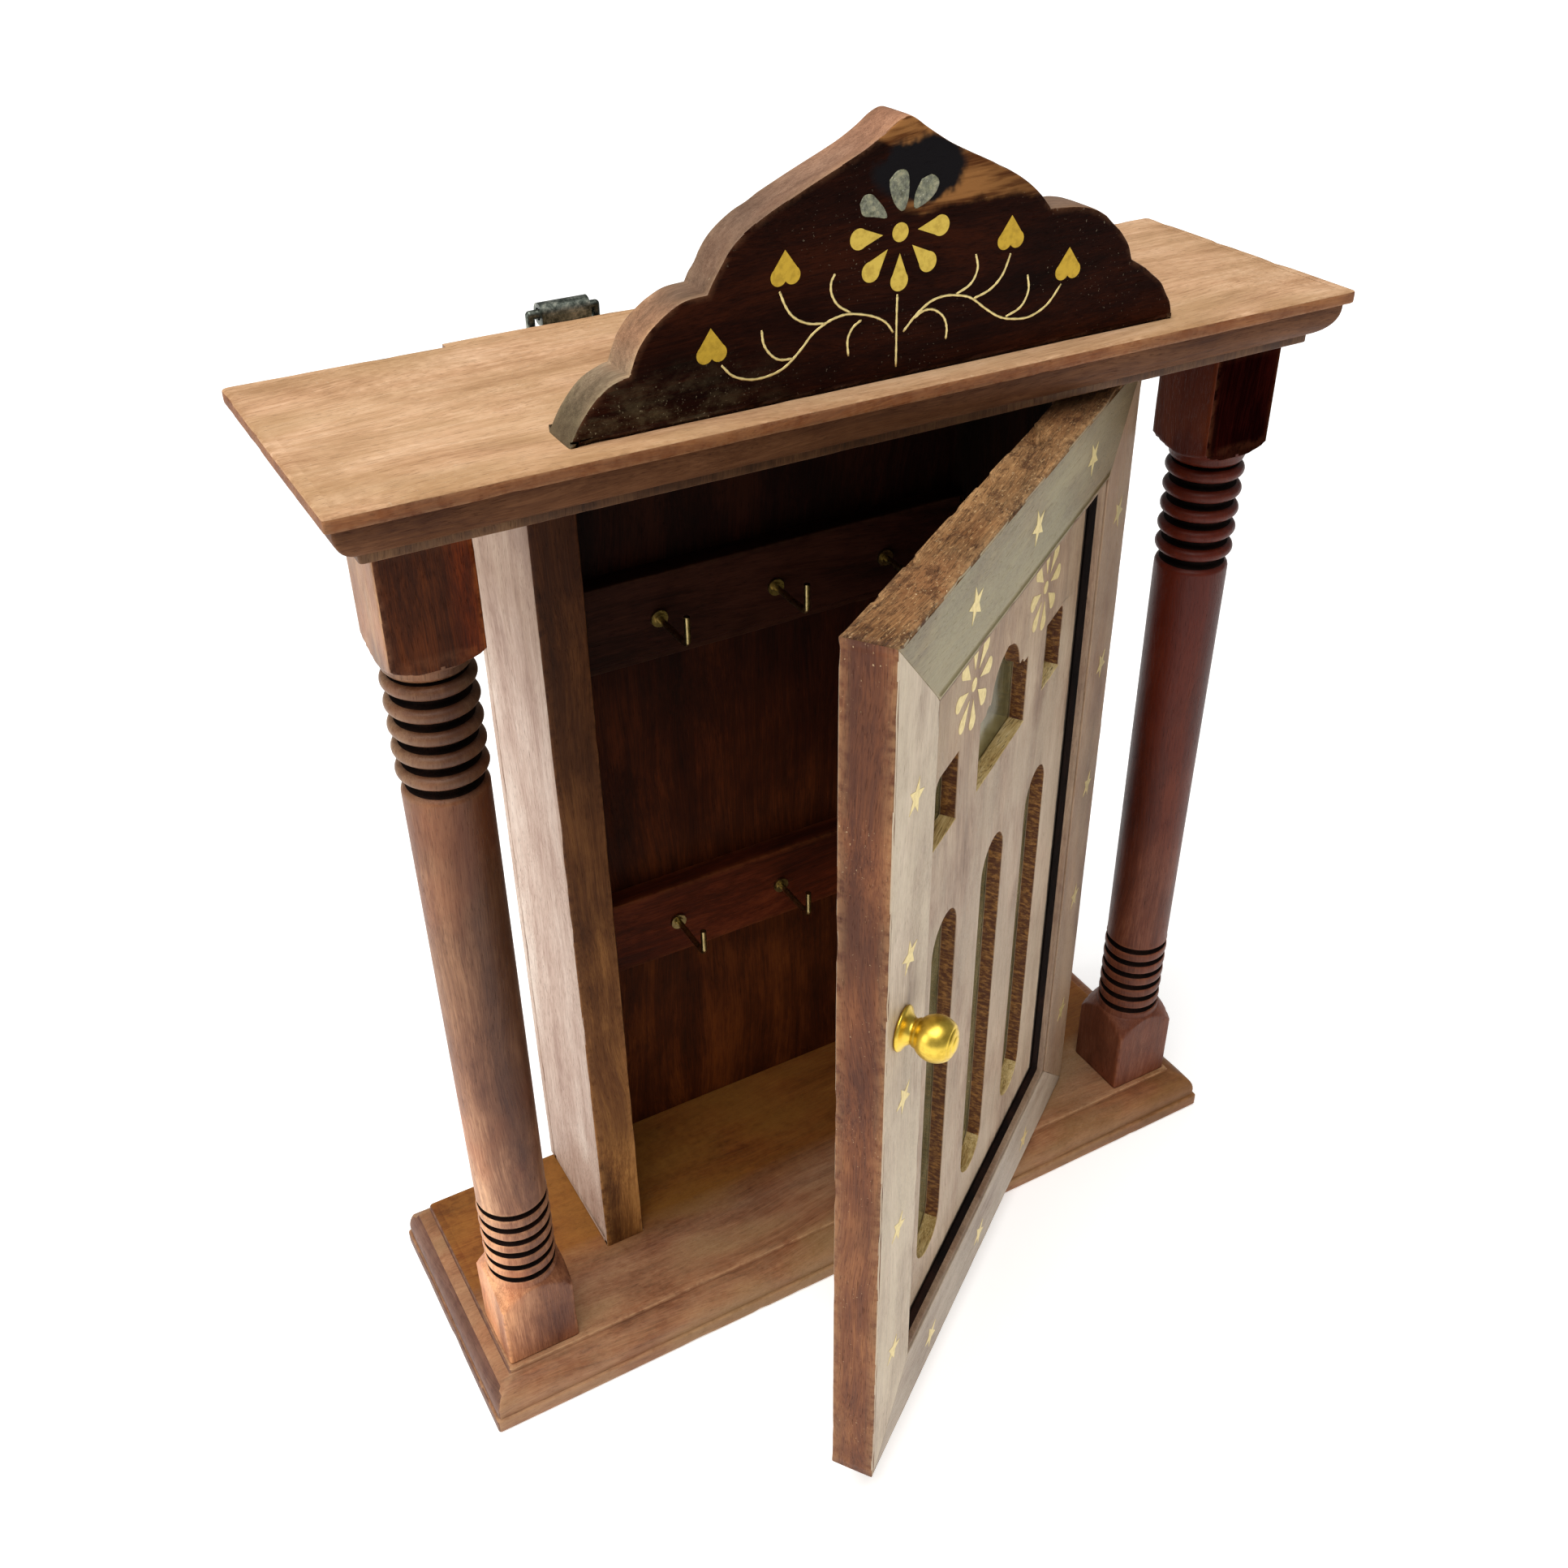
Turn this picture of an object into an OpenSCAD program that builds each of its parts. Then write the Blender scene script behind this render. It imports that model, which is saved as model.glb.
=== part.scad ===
/* [Base and cornice] */
// Width of the moulded base board
base_w = 252; // [225:1:280]
// Depth of the base board, front to back
base_d = 78; // [70:1:90]
// Thickness of the base board
base_t = 14; // [10:0.5:18]
// Width of the cornice board
cornice_w = 255; // [230:1:285]
// How far the cornice stands in front of the base
cornice_over = 2; // [0:0.5:6]
// Height of the cornice's top face above the floor
cornice_top = 278.3; // [250:0.1:310]
// Thickness of the cornice board
cornice_t = 11.3; // [9:0.1:14]
// Thickness of the strip under the cornice
fillet_t = 2.5; // [2:0.1:4]

/* [Case] */
// Outer width of the key case
case_w = 154; // [130:1:170]
// Thickness of the side panels
side_t = 12; // [9:0.5:15]
// Position of the side panels' front edges, from the base's centre
side_front = -5.6; // [-10:0.1:0]
// Thickness of the back panel
back_t = 3; // [2:0.5:5]

/* [Hook rails] */
// Thickness of a hook rail
rail_t = 7; // [5:0.5:9]
// Height of a hook rail
rail_h = 25; // [20:1:30]
// Bottom edge of the lower rail
lower_rail_z = 85.3; // [70:0.1:100]
// Bottom edge of the upper rail
upper_rail_z = 187.5; // [170:0.1:200]
// Spacing of the key hooks along a rail
hook_pitch = 35; // [30:0.5:40]
// Reach of a key hook from its collar to its upright
hook_reach = 17.4; // [14:0.1:20]
// Rise of a key hook's upright
hook_rise = 8.3; // [6:0.1:10]
// Wire diameter of a key hook
hook_wire_d = 1.7; // [1.5:0.1:2.2]

/* [Columns] */
// Distance of a column's axis from the centre line
column_x = 107; // [100:0.5:115]
// Position of the columns' axes, front to back
column_y = -19.4; // [-24:0.1:-15]
// Side of the square capital and plinth blocks
block_w = 21; // [18:0.5:24]
// Largest radius of the turned rings
bead_r = 10.4; // [8.5:0.1:10.4]
// Number of rings under the capital
bead_count = 5; // [3:1:7]
// Number of grooves above the plinth
groove_count = 6; // [4:1:8]

/* [Door] */
// Width of the door
door_w = 161.5; // [140:0.5:170]
// Height of the door
door_h = 247.7; // [225:0.1:260]
// Thickness of the door frame
door_t = 11.6; // [10:0.1:14]
// Width of the mitred frame members
frame_w = 23; // [18:0.5:28]
// Depth of the pierced panel's face behind the frame's face
panel_drop = 4; // [3:0.1:5]
// Thickness of the pierced panel
panel_t = 4; // [3:0.1:5]
// Thickness of the glass pane
glass_t = 2; // [1.5:0.1:3]
// Angle the door stands open at rest
door_rest = 35; // [0:0.1:90]
// Radius of the brass knob's ball
knob_r = 5.2; // [4.5:0.1:7]

/* [Crest] */
// Thickness of the scalloped crest
crest_t = 10.8; // [7:0.1:13]
// Distance of the crest's face behind the cornice's front edge
crest_back = 7.2; // [5:0.1:12]
// Radius of the crest's outer lobes
crest_lobe_r = 14.7; // [13:0.1:18]
// Height of the crest's rounded tip above the cornice
crest_h = 53.1; // [48:0.1:58]

/* [Hangers] */
// Distance of a hanger from the centre line
hanger_x = 45.8; // [35:0.1:60]
// Width of a hanger strap
strap_w = 12.5; // [10:0.5:16]
// Wire radius of a hanger ring
ring_wire_r = 1.1; // [0.9:0.1:1.4]

/* [Hidden] */
$fn = 96;
e = 0.01;
base_back = base_d / 2;
base_front = -base_d / 2;
cornice_front = base_front - cornice_over;
cornice_back = base_back - back_t;
cornice_z = cornice_top - cornice_t;
fillet_z = cornice_z - fillet_t;
lip_t = 3.3;
fillet_in = 6.8;
case_x = case_w / 2;
side_h = fillet_z - base_t;
rail_front = cornice_back - rail_t;
rail_w = case_w - 2 * side_t;
hook_xs = [3.2 - hook_pitch, 3.2, 3.2 + hook_pitch];
hook_collar_r = 2.4;
hook_shank_r = 1.1;
shank_l = 5.5;

shaft_r0 = 9.4;
shaft_r1 = 9.9;
shaft_z0 = 70.4;
shaft_z1 = 203.4;
collar_z = 232.6;
neck_r = 6.8;
bead_pitch = 5.63;
bead_edge_r = 1.6;
bead_z0 = 207.3;
groove_pitch = 4.93;
groove_z0 = 44.3;
groove_h = 2.0;
plinth_top = 35.4;
plinth_neck = 41.2;
capital_low = 238.6;

gap = 0.8;
hinge_x = case_x + 1.7;
hinge_y = side_front - gap / 2;
hinge_zs = [52, 226];
hinge_h = 26;
barrel_r = 1.4;
pin_r = 0.7;
pin_fit = 0.05;
leaf_t = 0.95;
leaf_w = 10.5;
door_x0 = case_x - door_w;
door_z0 = base_t + 0.5;
door_front = side_front - gap - door_t;
open_w = door_w - 2 * frame_w;
open_h = door_h - 2 * frame_w;
rabbet = 4;
strip_w = 3;
jali_mid = door_w / 2 - 2.4;
flower_mid = jali_mid + 1.4;
flower_v = door_h - frame_w - strip_w - 11.9;
knob_s = 8.7;
knob_z = 151.6;
star_r = 4.3;
inlay_t = 0.8;
proud = 0.06;
free_star_s = 11.8;
free_star_z = [39, 85, 128, 169, 209];
hinge_star_z = [38, 84, 125, 165, 210];
rail_star_s = [41, 80, 121];

crest_front = cornice_front + crest_back;
vine_w = 0.7;
flower_z = 30.6;
flower_x = -0.6;

ring_y = base_back + 2.7;
ring_z = 280;
barrel_out = 2.6;
barrel_in = 1.5;
strap_t = 1;
ring_leg = 7;
ring_bend_r = 8.3;

rosewood = [0.36, 0.19, 0.13];
dark_wood = [0.22, 0.11, 0.08];
pale_wood = [0.62, 0.40, 0.26];
brass = [0.83, 0.66, 0.30];
steel = [0.20, 0.20, 0.19];

// ---- flat shapes -------------------------------------------------------

// Round-ended petal: pointed end at the origin, round end's centre d along X
module petal2d(r, d) {
    a = 0.96 * asin(r / d);
    t = sqrt(d * d - r * r);
    union() {
        translate([d, 0])
            circle(r = r);
        polygon([[0, 0], [t * cos(a), -t * sin(a)], [d, 0], [t * cos(a), t * sin(a)]]);
    }
}

// Heart with its point up, centred on the origin
module heart2d(w, h) {
    r = w * 0.27;
    cx = w / 2 - r;
    dz = h - r;
    for (s = [-1, 1])
        translate([0, h / 2])
            rotate(atan2(-dz, s * cx))
                petal2d(r, sqrt(cx * cx + dz * dz));
}

module star2d(r) {
    polygon([for (i = [0:9]) let (a = 90 + 36 * i, q = i % 2 == 0 ? r : r * 0.4) [q * cos(a), q * sin(a)]]);
}

// Band of width w along an arc
module arc2d(r, w, a0, a1) {
    q = (a1 - a0) / 3;
    intersection() {
        difference() {
            circle(r = r + w / 2);
            circle(r = r - w / 2);
        }
        polygon([
            [0, 0],
            [3 * r * cos(a0), 3 * r * sin(a0)],
            [3 * r * cos(a0 + q), 3 * r * sin(a0 + q)],
            [3 * r * cos(a1 - q), 3 * r * sin(a1 - q)],
            [3 * r * cos(a1), 3 * r * sin(a1)]
        ]);
    }
}

module ring_of_petals(first, last, r, tip, reach) {
    for (i = [first:last])
        rotate(i * 45)
            translate([tip, 0])
                petal2d(r, reach - r - tip);
}

// ---- base and cornice --------------------------------------------------

// Moulded edge of the base: outer edge at 0, board lies towards +X
module base_edge2d(depth) {
    r = 6;
    union() {
        square([depth, 4.6]);
        translate([0.8, 0])
            square([depth - 0.8, 6.6]);
        translate([0.8, 6.6])
            intersection() {
                translate([r, 0])
                    circle(r = r);
                square([r, r]);
            }
        translate([0.8 + r, 0])
            square([depth - 0.8 - r, 6.6 + r]);
        translate([7.4, 0])
            square([depth - 7.4, base_t]);
    }
}

module base_side_section() {
    union() {
        translate([-base_w / 2, 0])
            base_edge2d(base_w / 2);
        translate([base_w / 2, 0])
            mirror([1, 0])
                base_edge2d(base_w / 2);
    }
}

module base_screw_places() {
    for (x = [-column_x, column_x])
        translate([x, column_y, 0])
            children();
    for (x = [-case_x + side_t / 2, case_x - side_t / 2])
        for (y = [4, 26])
            translate([x, y, 0])
                children();
}

module wood_screw(head_r, r, l) {
    union() {
        cylinder(r1 = head_r, r2 = r, h = head_r - r);
        cylinder(r = r, h = l);
    }
}

module base_board() {
    color(rosewood)
        difference() {
            intersection() {
                translate([0, base_back, 0])
                    rotate([90, 0, 0])
                        linear_extrude(height = base_d)
                            base_side_section();
                translate([-base_w / 2, base_front, 0])
                    rotate([90, 0, 90])
                        linear_extrude(height = base_w)
                            base_edge2d(base_d);
            }
            translate([0, 0, -0.5])
                base_screw_places()
                    wood_screw(4.05, 1.55, base_t + 2);
        }
}

// Moulded edge of the cornice: outer edge at 0, board lies towards +X
module cornice_edge2d(depth) {
    r = 7.6;
    union() {
        translate([0, cornice_t - lip_t])
            square([depth, lip_t]);
        translate([1.6, cornice_t - lip_t - 1.2])
            square([depth - 1.6, 1.3]);
        translate([1.6, 0])
            intersection() {
                translate([r, cornice_t - lip_t - 1.2])
                    circle(r = r);
                square([r, cornice_t - lip_t - 1.1]);
            }
        translate([1.6 + r, 0])
            square([depth - 1.6 - r, cornice_t]);
    }
}

module cornice_board() {
    depth = cornice_back - cornice_front;
    color(pale_wood)
        difference() {
            intersection() {
                translate([0, cornice_back, cornice_z])
                    rotate([90, 0, 0])
                        linear_extrude(height = depth)
                            union() {
                                translate([-cornice_w / 2, 0])
                                    cornice_edge2d(cornice_w / 2);
                                translate([cornice_w / 2, 0])
                                    mirror([1, 0])
                                        cornice_edge2d(cornice_w / 2);
                            }
                translate([-cornice_w / 2, cornice_front, cornice_z])
                    rotate([90, 0, 90])
                        linear_extrude(height = cornice_w)
                            cornice_edge2d(depth);
            }
            back_nail_places(true)
                nail(0.02);
        }
}

module cornice_fillet() {
    color(dark_wood)
        translate([-cornice_w / 2 + fillet_in, cornice_front + fillet_in, fillet_z])
            cube([cornice_w - 2 * fillet_in, cornice_back - cornice_front - fillet_in, fillet_t]);
}

// ---- crest -------------------------------------------------------------

// Disc with its centre at x, z, cut off at the crest's foot
module crest_disc2d(x, z, r) {
    translate([x, 0])
        intersection() {
            translate([0, z])
                circle(r = r);
            translate([-r, 0])
                square([2 * r, 2 * r]);
        }
}

module crest_lobes2d() {
    crest_disc2d(-61.3, -1.8, crest_lobe_r);
    crest_disc2d(61.3, -1.8, crest_lobe_r);
    crest_disc2d(-46.6, 9.6, 15.4);
    crest_disc2d(45.2, 12.9, 16.3);
    crest_disc2d(-25, 19, 20.4);
    crest_disc2d(19.5, 18.5, 21.7);
    translate([-44, 0])
        square([88, 24.5]);
    translate([-61, 0])
        square([122, 12]);
}

module crest_peak2d() {
    polygon([
        [-30, 4], [-28, 39.1], [-21.2, 42.8], [-12.2, 46.5], [-5.3, 49.8], [-2.6, crest_h - 1.5],
        [3.2, crest_h - 1.5], [8.7, 48.2], [16.4, 44.1], [23.5, 40.2], [30, 4]
    ]);
}

module crest_tip2d() {
    tip_r = 5.1;
    translate([0.3, crest_h - tip_r])
        circle(r = tip_r);
}

// Stands a flat shape up on the crest's face, from depth d0 to depth d1
module crest_plate(d0, d1) {
    translate([0, crest_front + d1, cornice_top])
        rotate([90, 0, 0])
            linear_extrude(height = d1 - d0)
                children();
}

module crest_flower2d() {
    translate([flower_x, flower_z]) {
        circle(r = 1.95);
        ring_of_petals(4, 8, 2.15, 4.2, 12);
    }
}

module crest_worn2d() {
    translate([flower_x, flower_z])
        ring_of_petals(1, 3, 2.3, 4.2, 12.4);
}

module crest_hearts2d() {
    translate([-27.5, 27.6])
        heart2d(6.8, 7);
    translate([-44.5, 14.9])
        heart2d(6.8, 7);
    translate([27.4, 26.6])
        heart2d(6.8, 7);
    translate([43.5, 17.6])
        heart2d(6.8, 7);
}

module vine_half2d() {
    translate([-13, 2.2])
        arc2d(13.5, vine_w, 36, 144);
    translate([-33, 17.8])
        arc2d(11.8, vine_w, 220, 320);
    translate([-9.2, 21.3])
        arc2d(7.5, vine_w, 158, 238);
    translate([-19.8, 23.6])
        arc2d(8.6, vine_w, 186, 268);
    translate([-25.6, 15.2])
        arc2d(6.9, vine_w, 186, 262);
    translate([-5.6, 7.4])
        arc2d(7.2, vine_w, 123, 186);
}

module crest_vines2d() {
    union() {
        vine_half2d();
        translate([-1.2, 0])
            mirror([1, 0])
                vine_half2d();
        translate([flower_x - vine_w / 2, 2.5])
            square([vine_w, 15.3]);
    }
}

module crest_board() {
    color(dark_wood)
        difference() {
            union() {
                crest_plate(0, crest_t)
                    crest_lobes2d();
                crest_plate(0, crest_t)
                    crest_peak2d();
                crest_plate(0, crest_t)
                    crest_tip2d();
            }
            crest_plate(-1, inlay_t)
                crest_flower2d();
            crest_plate(-1, inlay_t)
                crest_worn2d();
            crest_plate(-1, inlay_t)
                crest_hearts2d();
            crest_plate(-1, inlay_t)
                crest_vines2d();
        }
}

module crest_flower() {
    color(brass)
        crest_plate(-proud, inlay_t)
            crest_flower2d();
}

module crest_worn_petals() {
    color([0.55, 0.56, 0.50])
        crest_plate(proud, inlay_t)
            crest_worn2d();
}

module crest_hearts() {
    color(brass)
        crest_plate(-proud, inlay_t)
            crest_hearts2d();
}

module crest_vines() {
    color(brass)
        crest_plate(-proud, inlay_t)
            crest_vines2d();
}

// ---- case --------------------------------------------------------------

module side_panel(s) {
    x0 = s < 0 ? -case_x : case_x - side_t;
    difference() {
        translate([x0, side_front, base_t])
            cube([side_t, cornice_back - side_front, side_h]);
        base_screw_places()
            cylinder(r = 1.52, h = base_t + 14.05);
        back_nail_places(false)
            nail(0.02);
        if (s > 0) {
            frame_leaf_pockets();
            frame_screws(0.02);
        }
    }
}

module left_side_panel() {
    color(pale_wood)
        side_panel(-1);
}

module right_side_panel() {
    color(rosewood)
        side_panel(1);
}

module back_nail_places(top) {
    if (top)
        for (x = [-60, -20, 20, 60])
            translate([x, base_back, cornice_z + 6])
                children();
    else
        for (x = [-case_x + side_t / 2, case_x - side_t / 2])
            for (z = [34, 88, 142, 196, 250])
                translate([x, base_back, z])
                    children();
}

// Flat-headed nail driven in from the back
module nail(c) {
    rotate([90, 0, 0])
        union() {
            cylinder(r = 1.6 + c, h = 0.6 + c);
            cylinder(r = 0.65 + c, h = 13 + c);
        }
}

module back_panel() {
    color(dark_wood)
        difference() {
            translate([-case_x, cornice_back, base_t])
                cube([case_w, back_t, cornice_top - base_t]);
            back_nail_places(true)
                nail(0.02);
            back_nail_places(false)
                nail(0.02);
            hanger_screw_places()
                hanger_screw(0.02);
        }
}

module back_nails() {
    color(steel) {
        back_nail_places(true)
            nail(0);
        back_nail_places(false)
            nail(0);
    }
}

// ---- hook rails --------------------------------------------------------

module hook_rail(z) {
    difference() {
        translate([-rail_w / 2, rail_front, z])
            cube([rail_w, rail_t, rail_h]);
        for (x = hook_xs)
            translate([x, rail_front - 1, hook_z(z)])
                rotate([-90, 0, 0])
                    cylinder(r = hook_shank_r + 0.02, h = shank_l + 1.05);
    }
}

function hook_z(z) = z + 12.2;

module upper_hook_rail() {
    color(dark_wood)
        hook_rail(upper_rail_z);
}

module lower_hook_rail() {
    color(rosewood)
        hook_rail(lower_rail_z);
}

// Shouldered square-bend hook screwed into a rail
module key_hook() {
    wire_r = hook_wire_d / 2;
    bend = 1.9;
    union() {
        rotate([-90, 0, 0])
            cylinder(r = hook_shank_r, h = shank_l);
        rotate([90, 0, 0])
            cylinder(r = hook_collar_r, h = 0.9);
        rotate([90, 0, 0])
            cylinder(r = hook_shank_r + 0.35, h = 1.5);
        rotate([90, 0, 0])
            cylinder(r = wire_r, h = hook_reach - bend);
        translate([0, -hook_reach + bend, bend])
            rotate([0, 0, -90])
                rotate([-90, 0, 0])
                    rotate_extrude(angle = 90)
                        translate([bend, 0])
                            circle(r = wire_r);
        translate([0, -hook_reach, bend])
            cylinder(r = wire_r, h = hook_rise - bend);
    }
}

module hook_row(z) {
    for (x = hook_xs)
        translate([x, rail_front, hook_z(z)])
            key_hook();
}

module upper_key_hooks() {
    color(brass)
        hook_row(upper_rail_z);
}

module lower_key_hooks() {
    color(brass)
        hook_row(lower_rail_z);
}

// ---- columns -----------------------------------------------------------

module turned_section2d() {
    union() {
        // plinth: full square, then its turned shoulder
        square([16, plinth_top - 5.4]);
        polygon([
            [0, plinth_top - 5.5], [16, plinth_top - 5.5], [14.6, plinth_top],
            [12.6, plinth_top + 3.2], [10.1, plinth_neck], [0, plinth_neck]
        ]);
        // shaft and the bands cut into its foot
        difference() {
            union() {
                polygon([
                    [0, plinth_neck - e], [9.9, plinth_neck - e], [9.6, groove_z0],
                    [shaft_r0, shaft_z0], [shaft_r1, shaft_z1 - 1.6], [0, shaft_z1 - 1.6]
                ]);
                square([shaft_r1 - 1.6, shaft_z1]);
                translate([shaft_r1 - 1.6, shaft_z1 - 1.6])
                    circle(r = 1.6);
            }
            for (i = [0:groove_count - 1])
                translate([8.1, groove_z0 + i * groove_pitch - groove_h / 2])
                    square([4, groove_h]);
        }
        // rings under the capital
        square([neck_r, collar_z + 1]);
        for (i = [0:bead_count - 1])
            translate([bead_r - bead_edge_r, bead_z0 + i * bead_pitch])
                circle(r = bead_edge_r);
        for (i = [0:bead_count - 1])
            translate([0, bead_z0 + i * bead_pitch - bead_edge_r])
                square([bead_r - bead_edge_r, 2 * bead_edge_r]);
        // capital
        polygon([
            [0, collar_z], [9.2, collar_z], [9.9, collar_z + 1], [9.9, collar_z + 2.3],
            [11.4, collar_z + 3.1], [13.6, collar_z + 4.4], [16, capital_low], [0, capital_low]
        ]);
        translate([0, capital_low - e])
            square([16, fillet_z - capital_low + e]);
    }
}

module column(s) {
    difference() {
        translate([s * column_x, column_y, 0])
            intersection() {
                rotate_extrude()
                    intersection() {
                        turned_section2d();
                        translate([0, base_t])
                            square([16, fillet_z - base_t]);
                    }
                translate([-block_w / 2, -block_w / 2, base_t])
                    cube([block_w, block_w, fillet_z - base_t]);
            }
        base_screw_places()
            cylinder(r = 1.52, h = base_t + 14.05);
    }
}

module left_column() {
    color(rosewood)
        column(-1);
}

module right_column() {
    color(rosewood)
        column(1);
}

module base_screws() {
    color(steel)
        base_screw_places()
            translate([0, 0, 0.2])
                wood_screw(3, 1.5, base_t + 13.8);
}

// ---- hinges ------------------------------------------------------------

knuckle_cuts = [0, 8.6, 17.4, 26];

module leaf_plate(y0, z) {
    translate([case_x - leaf_w, y0, z - hinge_h / 2])
        cube([leaf_w - 0.2, leaf_t, hinge_h]);
}

module knuckle(z, i, y0) {
    low = knuckle_cuts[i] + (i > 0 ? 0.15 : 0);
    high = knuckle_cuts[i + 1] - (i < 2 ? 0.15 : 0);
    translate([0, 0, z - hinge_h / 2 + low]) {
        translate([hinge_x, hinge_y, 0])
            cylinder(r = barrel_r, h = high - low);
        translate([case_x - leaf_w, y0, 0])
            cube([hinge_x - case_x + leaf_w, leaf_t, high - low]);
    }
}

module hinge_bores() {
    for (z = hinge_zs)
        translate([hinge_x, hinge_y, z - hinge_h])
            cylinder(r = pin_r + pin_fit, h = 2 * hinge_h);
}

frame_leaf_y = side_front - 0.25;
door_leaf_y = side_front - gap + 0.25 - leaf_t;

module frame_leaf_pockets() {
    for (z = hinge_zs)
        translate([case_x - leaf_w - 0.02, side_front - 1, z - hinge_h / 2 - 0.02])
            cube([leaf_w + 1, 1 + leaf_t - 0.25 + 0.02, hinge_h + 0.04]);
}

module frame_screws(c) {
    for (z = hinge_zs)
        for (d = [-7.5, 7.5])
            translate([case_x - 6, frame_leaf_y + 0.05, z + d])
                rotate([-90, 0, 0])
                    wood_screw(1.7 + c, 0.85 + c, 8 + c);
}

module frame_hinge_leaves() {
    color(brass)
        difference() {
            for (z = hinge_zs)
                union() {
                    leaf_plate(frame_leaf_y, z);
                    knuckle(z, 0, frame_leaf_y);
                    knuckle(z, 2, frame_leaf_y);
                }
            hinge_bores();
            frame_screws(0.02);
        }
}

module frame_hinge_screws() {
    color(brass)
        frame_screws(0);
}

module hinge_pins() {
    color(steel)
        for (z = hinge_zs)
            translate([hinge_x, hinge_y, z - hinge_h / 2 - 0.4])
                cylinder(r = pin_r, h = hinge_h + 0.8);
}

// ---- hangers -----------------------------------------------------------

module hanger_screw_places() {
    for (s = [-1, 1])
        for (z = [253.2, 260])
            translate([s * hanger_x, base_back + strap_t, z])
                children();
}

module hanger_screw(c) {
    rotate([90, 0, 0])
        union() {
            translate([0, 0, -0.8])
                cylinder(r = 1.7, h = 0.8 + c);
            cylinder(r = 0.9 + c, h = strap_t + 2.6 + c);
        }
}

module hanger_strap(s) {
    difference() {
        union() {
            translate([s * hanger_x - strap_w / 2, base_back, 249.5])
                cube([strap_w, strap_t, ring_z - 249.5]);
            translate([s * hanger_x - strap_w / 2, ring_y, ring_z])
                rotate([0, 90, 0])
                    cylinder(r = barrel_out, h = strap_w);
        }
        translate([s * hanger_x - strap_w, ring_y, ring_z])
            rotate([0, 90, 0])
                cylinder(r = barrel_in, h = 2 * strap_w);
        hanger_screw_places()
            rotate([90, 0, 0])
                translate([0, 0, -2])
                    cylinder(r = 0.92, h = 6);
    }
}

module left_hanger_strap() {
    color(steel)
        hanger_strap(-1);
}

module right_hanger_strap() {
    color(steel)
        hanger_strap(1);
}

module hanger_screws() {
    color(steel)
        hanger_screw_places()
            hanger_screw(0);
}

// D-shaped ring: straight bar in the strap's barrel, loop hanging below
module hanger_ring(s) {
    translate([s * hanger_x, ring_y, ring_z]) {
        union() {
            translate([-ring_bend_r, 0, 0])
                rotate([0, 90, 0])
                    cylinder(r = ring_wire_r, h = 2 * ring_bend_r);
            for (k = [-1, 1]) {
                translate([k * ring_bend_r, 0, 0])
                    sphere(r = ring_wire_r);
                translate([k * ring_bend_r, 0, -ring_leg])
                    cylinder(r = ring_wire_r, h = ring_leg);
            }
            translate([0, 0, -ring_leg])
                rotate([-90, 0, 0])
                    rotate_extrude(angle = 180)
                        translate([ring_bend_r, 0])
                            circle(r = ring_wire_r);
        }
    }
}

module left_hanger_ring() {
    color(steel)
        hanger_ring(-1);
}

module right_hanger_ring() {
    color(steel)
        hanger_ring(1);
}

// ---- door --------------------------------------------------------------

// Turns the closed door to its rest angle
module door_pose() {
    translate([hinge_x, hinge_y, 0])
        rotate([0, 0, door_rest])
            translate([-hinge_x, -hinge_y, 0])
                children();
}

// Stands a flat door shape up, from depth d0 to depth d1 behind the face
module door_plate(d0, d1) {
    translate([door_x0, door_front + d1, door_z0])
        rotate([90, 0, 0])
            linear_extrude(height = d1 - d0)
                children();
}

module rabbet_cut() {
    door_plate(panel_drop, door_t + 1)
        translate([frame_w - rabbet, frame_w - rabbet])
            square([open_w + 2 * rabbet, open_h + 2 * rabbet]);
}

module star_pockets() {
    door_plate(-1, inlay_t)
        star_field2d();
}

module star_field2d() {
    for (z = free_star_z)
        translate([free_star_s, z])
            rotate(z * 3)
                star2d(star_r);
    for (z = hinge_star_z)
        translate([door_w - 9.5, z])
            rotate(z * 5)
                star2d(star_r);
    for (s = rail_star_s) {
        translate([s, door_h - 11])
            rotate(s * 2)
                star2d(star_r);
        translate([s, 9.5])
            rotate(s * 4)
                star2d(star_r);
    }
}

module frame_member(flat) {
    difference() {
        door_plate(0, door_t)
            children();
        rabbet_cut();
        star_pockets();
        if (flat == 0)
            translate([door_x0 + knob_s, door_front - 1, door_z0 + knob_z])
                rotate([-90, 0, 0]) {
                    cylinder(r = 1.55, h = door_t + 2);
                    translate([0, 0, door_t - 1])
                        cylinder(r = 3.1, h = 3);
                }
        if (flat == 1) {
            door_leaf_pockets();
            door_screws(0.02);
        }
    }
}

module free_stile() {
    color(rosewood)
        door_pose()
            frame_member(0)
                polygon([[0, 0], [frame_w, frame_w], [frame_w, door_h - frame_w], [0, door_h]]);
}

module hinge_stile() {
    color(rosewood)
        door_pose()
            frame_member(1)
                polygon([
                    [door_w, 0], [door_w, door_h],
                    [door_w - frame_w, door_h - frame_w], [door_w - frame_w, frame_w]
                ]);
}

module top_rail() {
    color(dark_wood)
        door_pose()
            frame_member(2)
                polygon([
                    [0, door_h], [frame_w, door_h - frame_w],
                    [door_w - frame_w, door_h - frame_w], [door_w, door_h]
                ]);
}

module bottom_rail() {
    color(rosewood)
        door_pose()
            frame_member(3)
                polygon([
                    [0, 0], [door_w, 0],
                    [door_w - frame_w, frame_w], [frame_w, frame_w]
                ]);
}

// Moulding strip section: X away from the frame, Y into the door
module strip2d() {
    polygon([
        [0, panel_drop], [0, 0.9], [0.3, 0.6], [0.8, 0.4], [1.3, 0.5],
        [strip_w - 0.3, panel_drop - 1], [strip_w, panel_drop - 0.5], [strip_w, panel_drop]
    ]);
}

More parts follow.
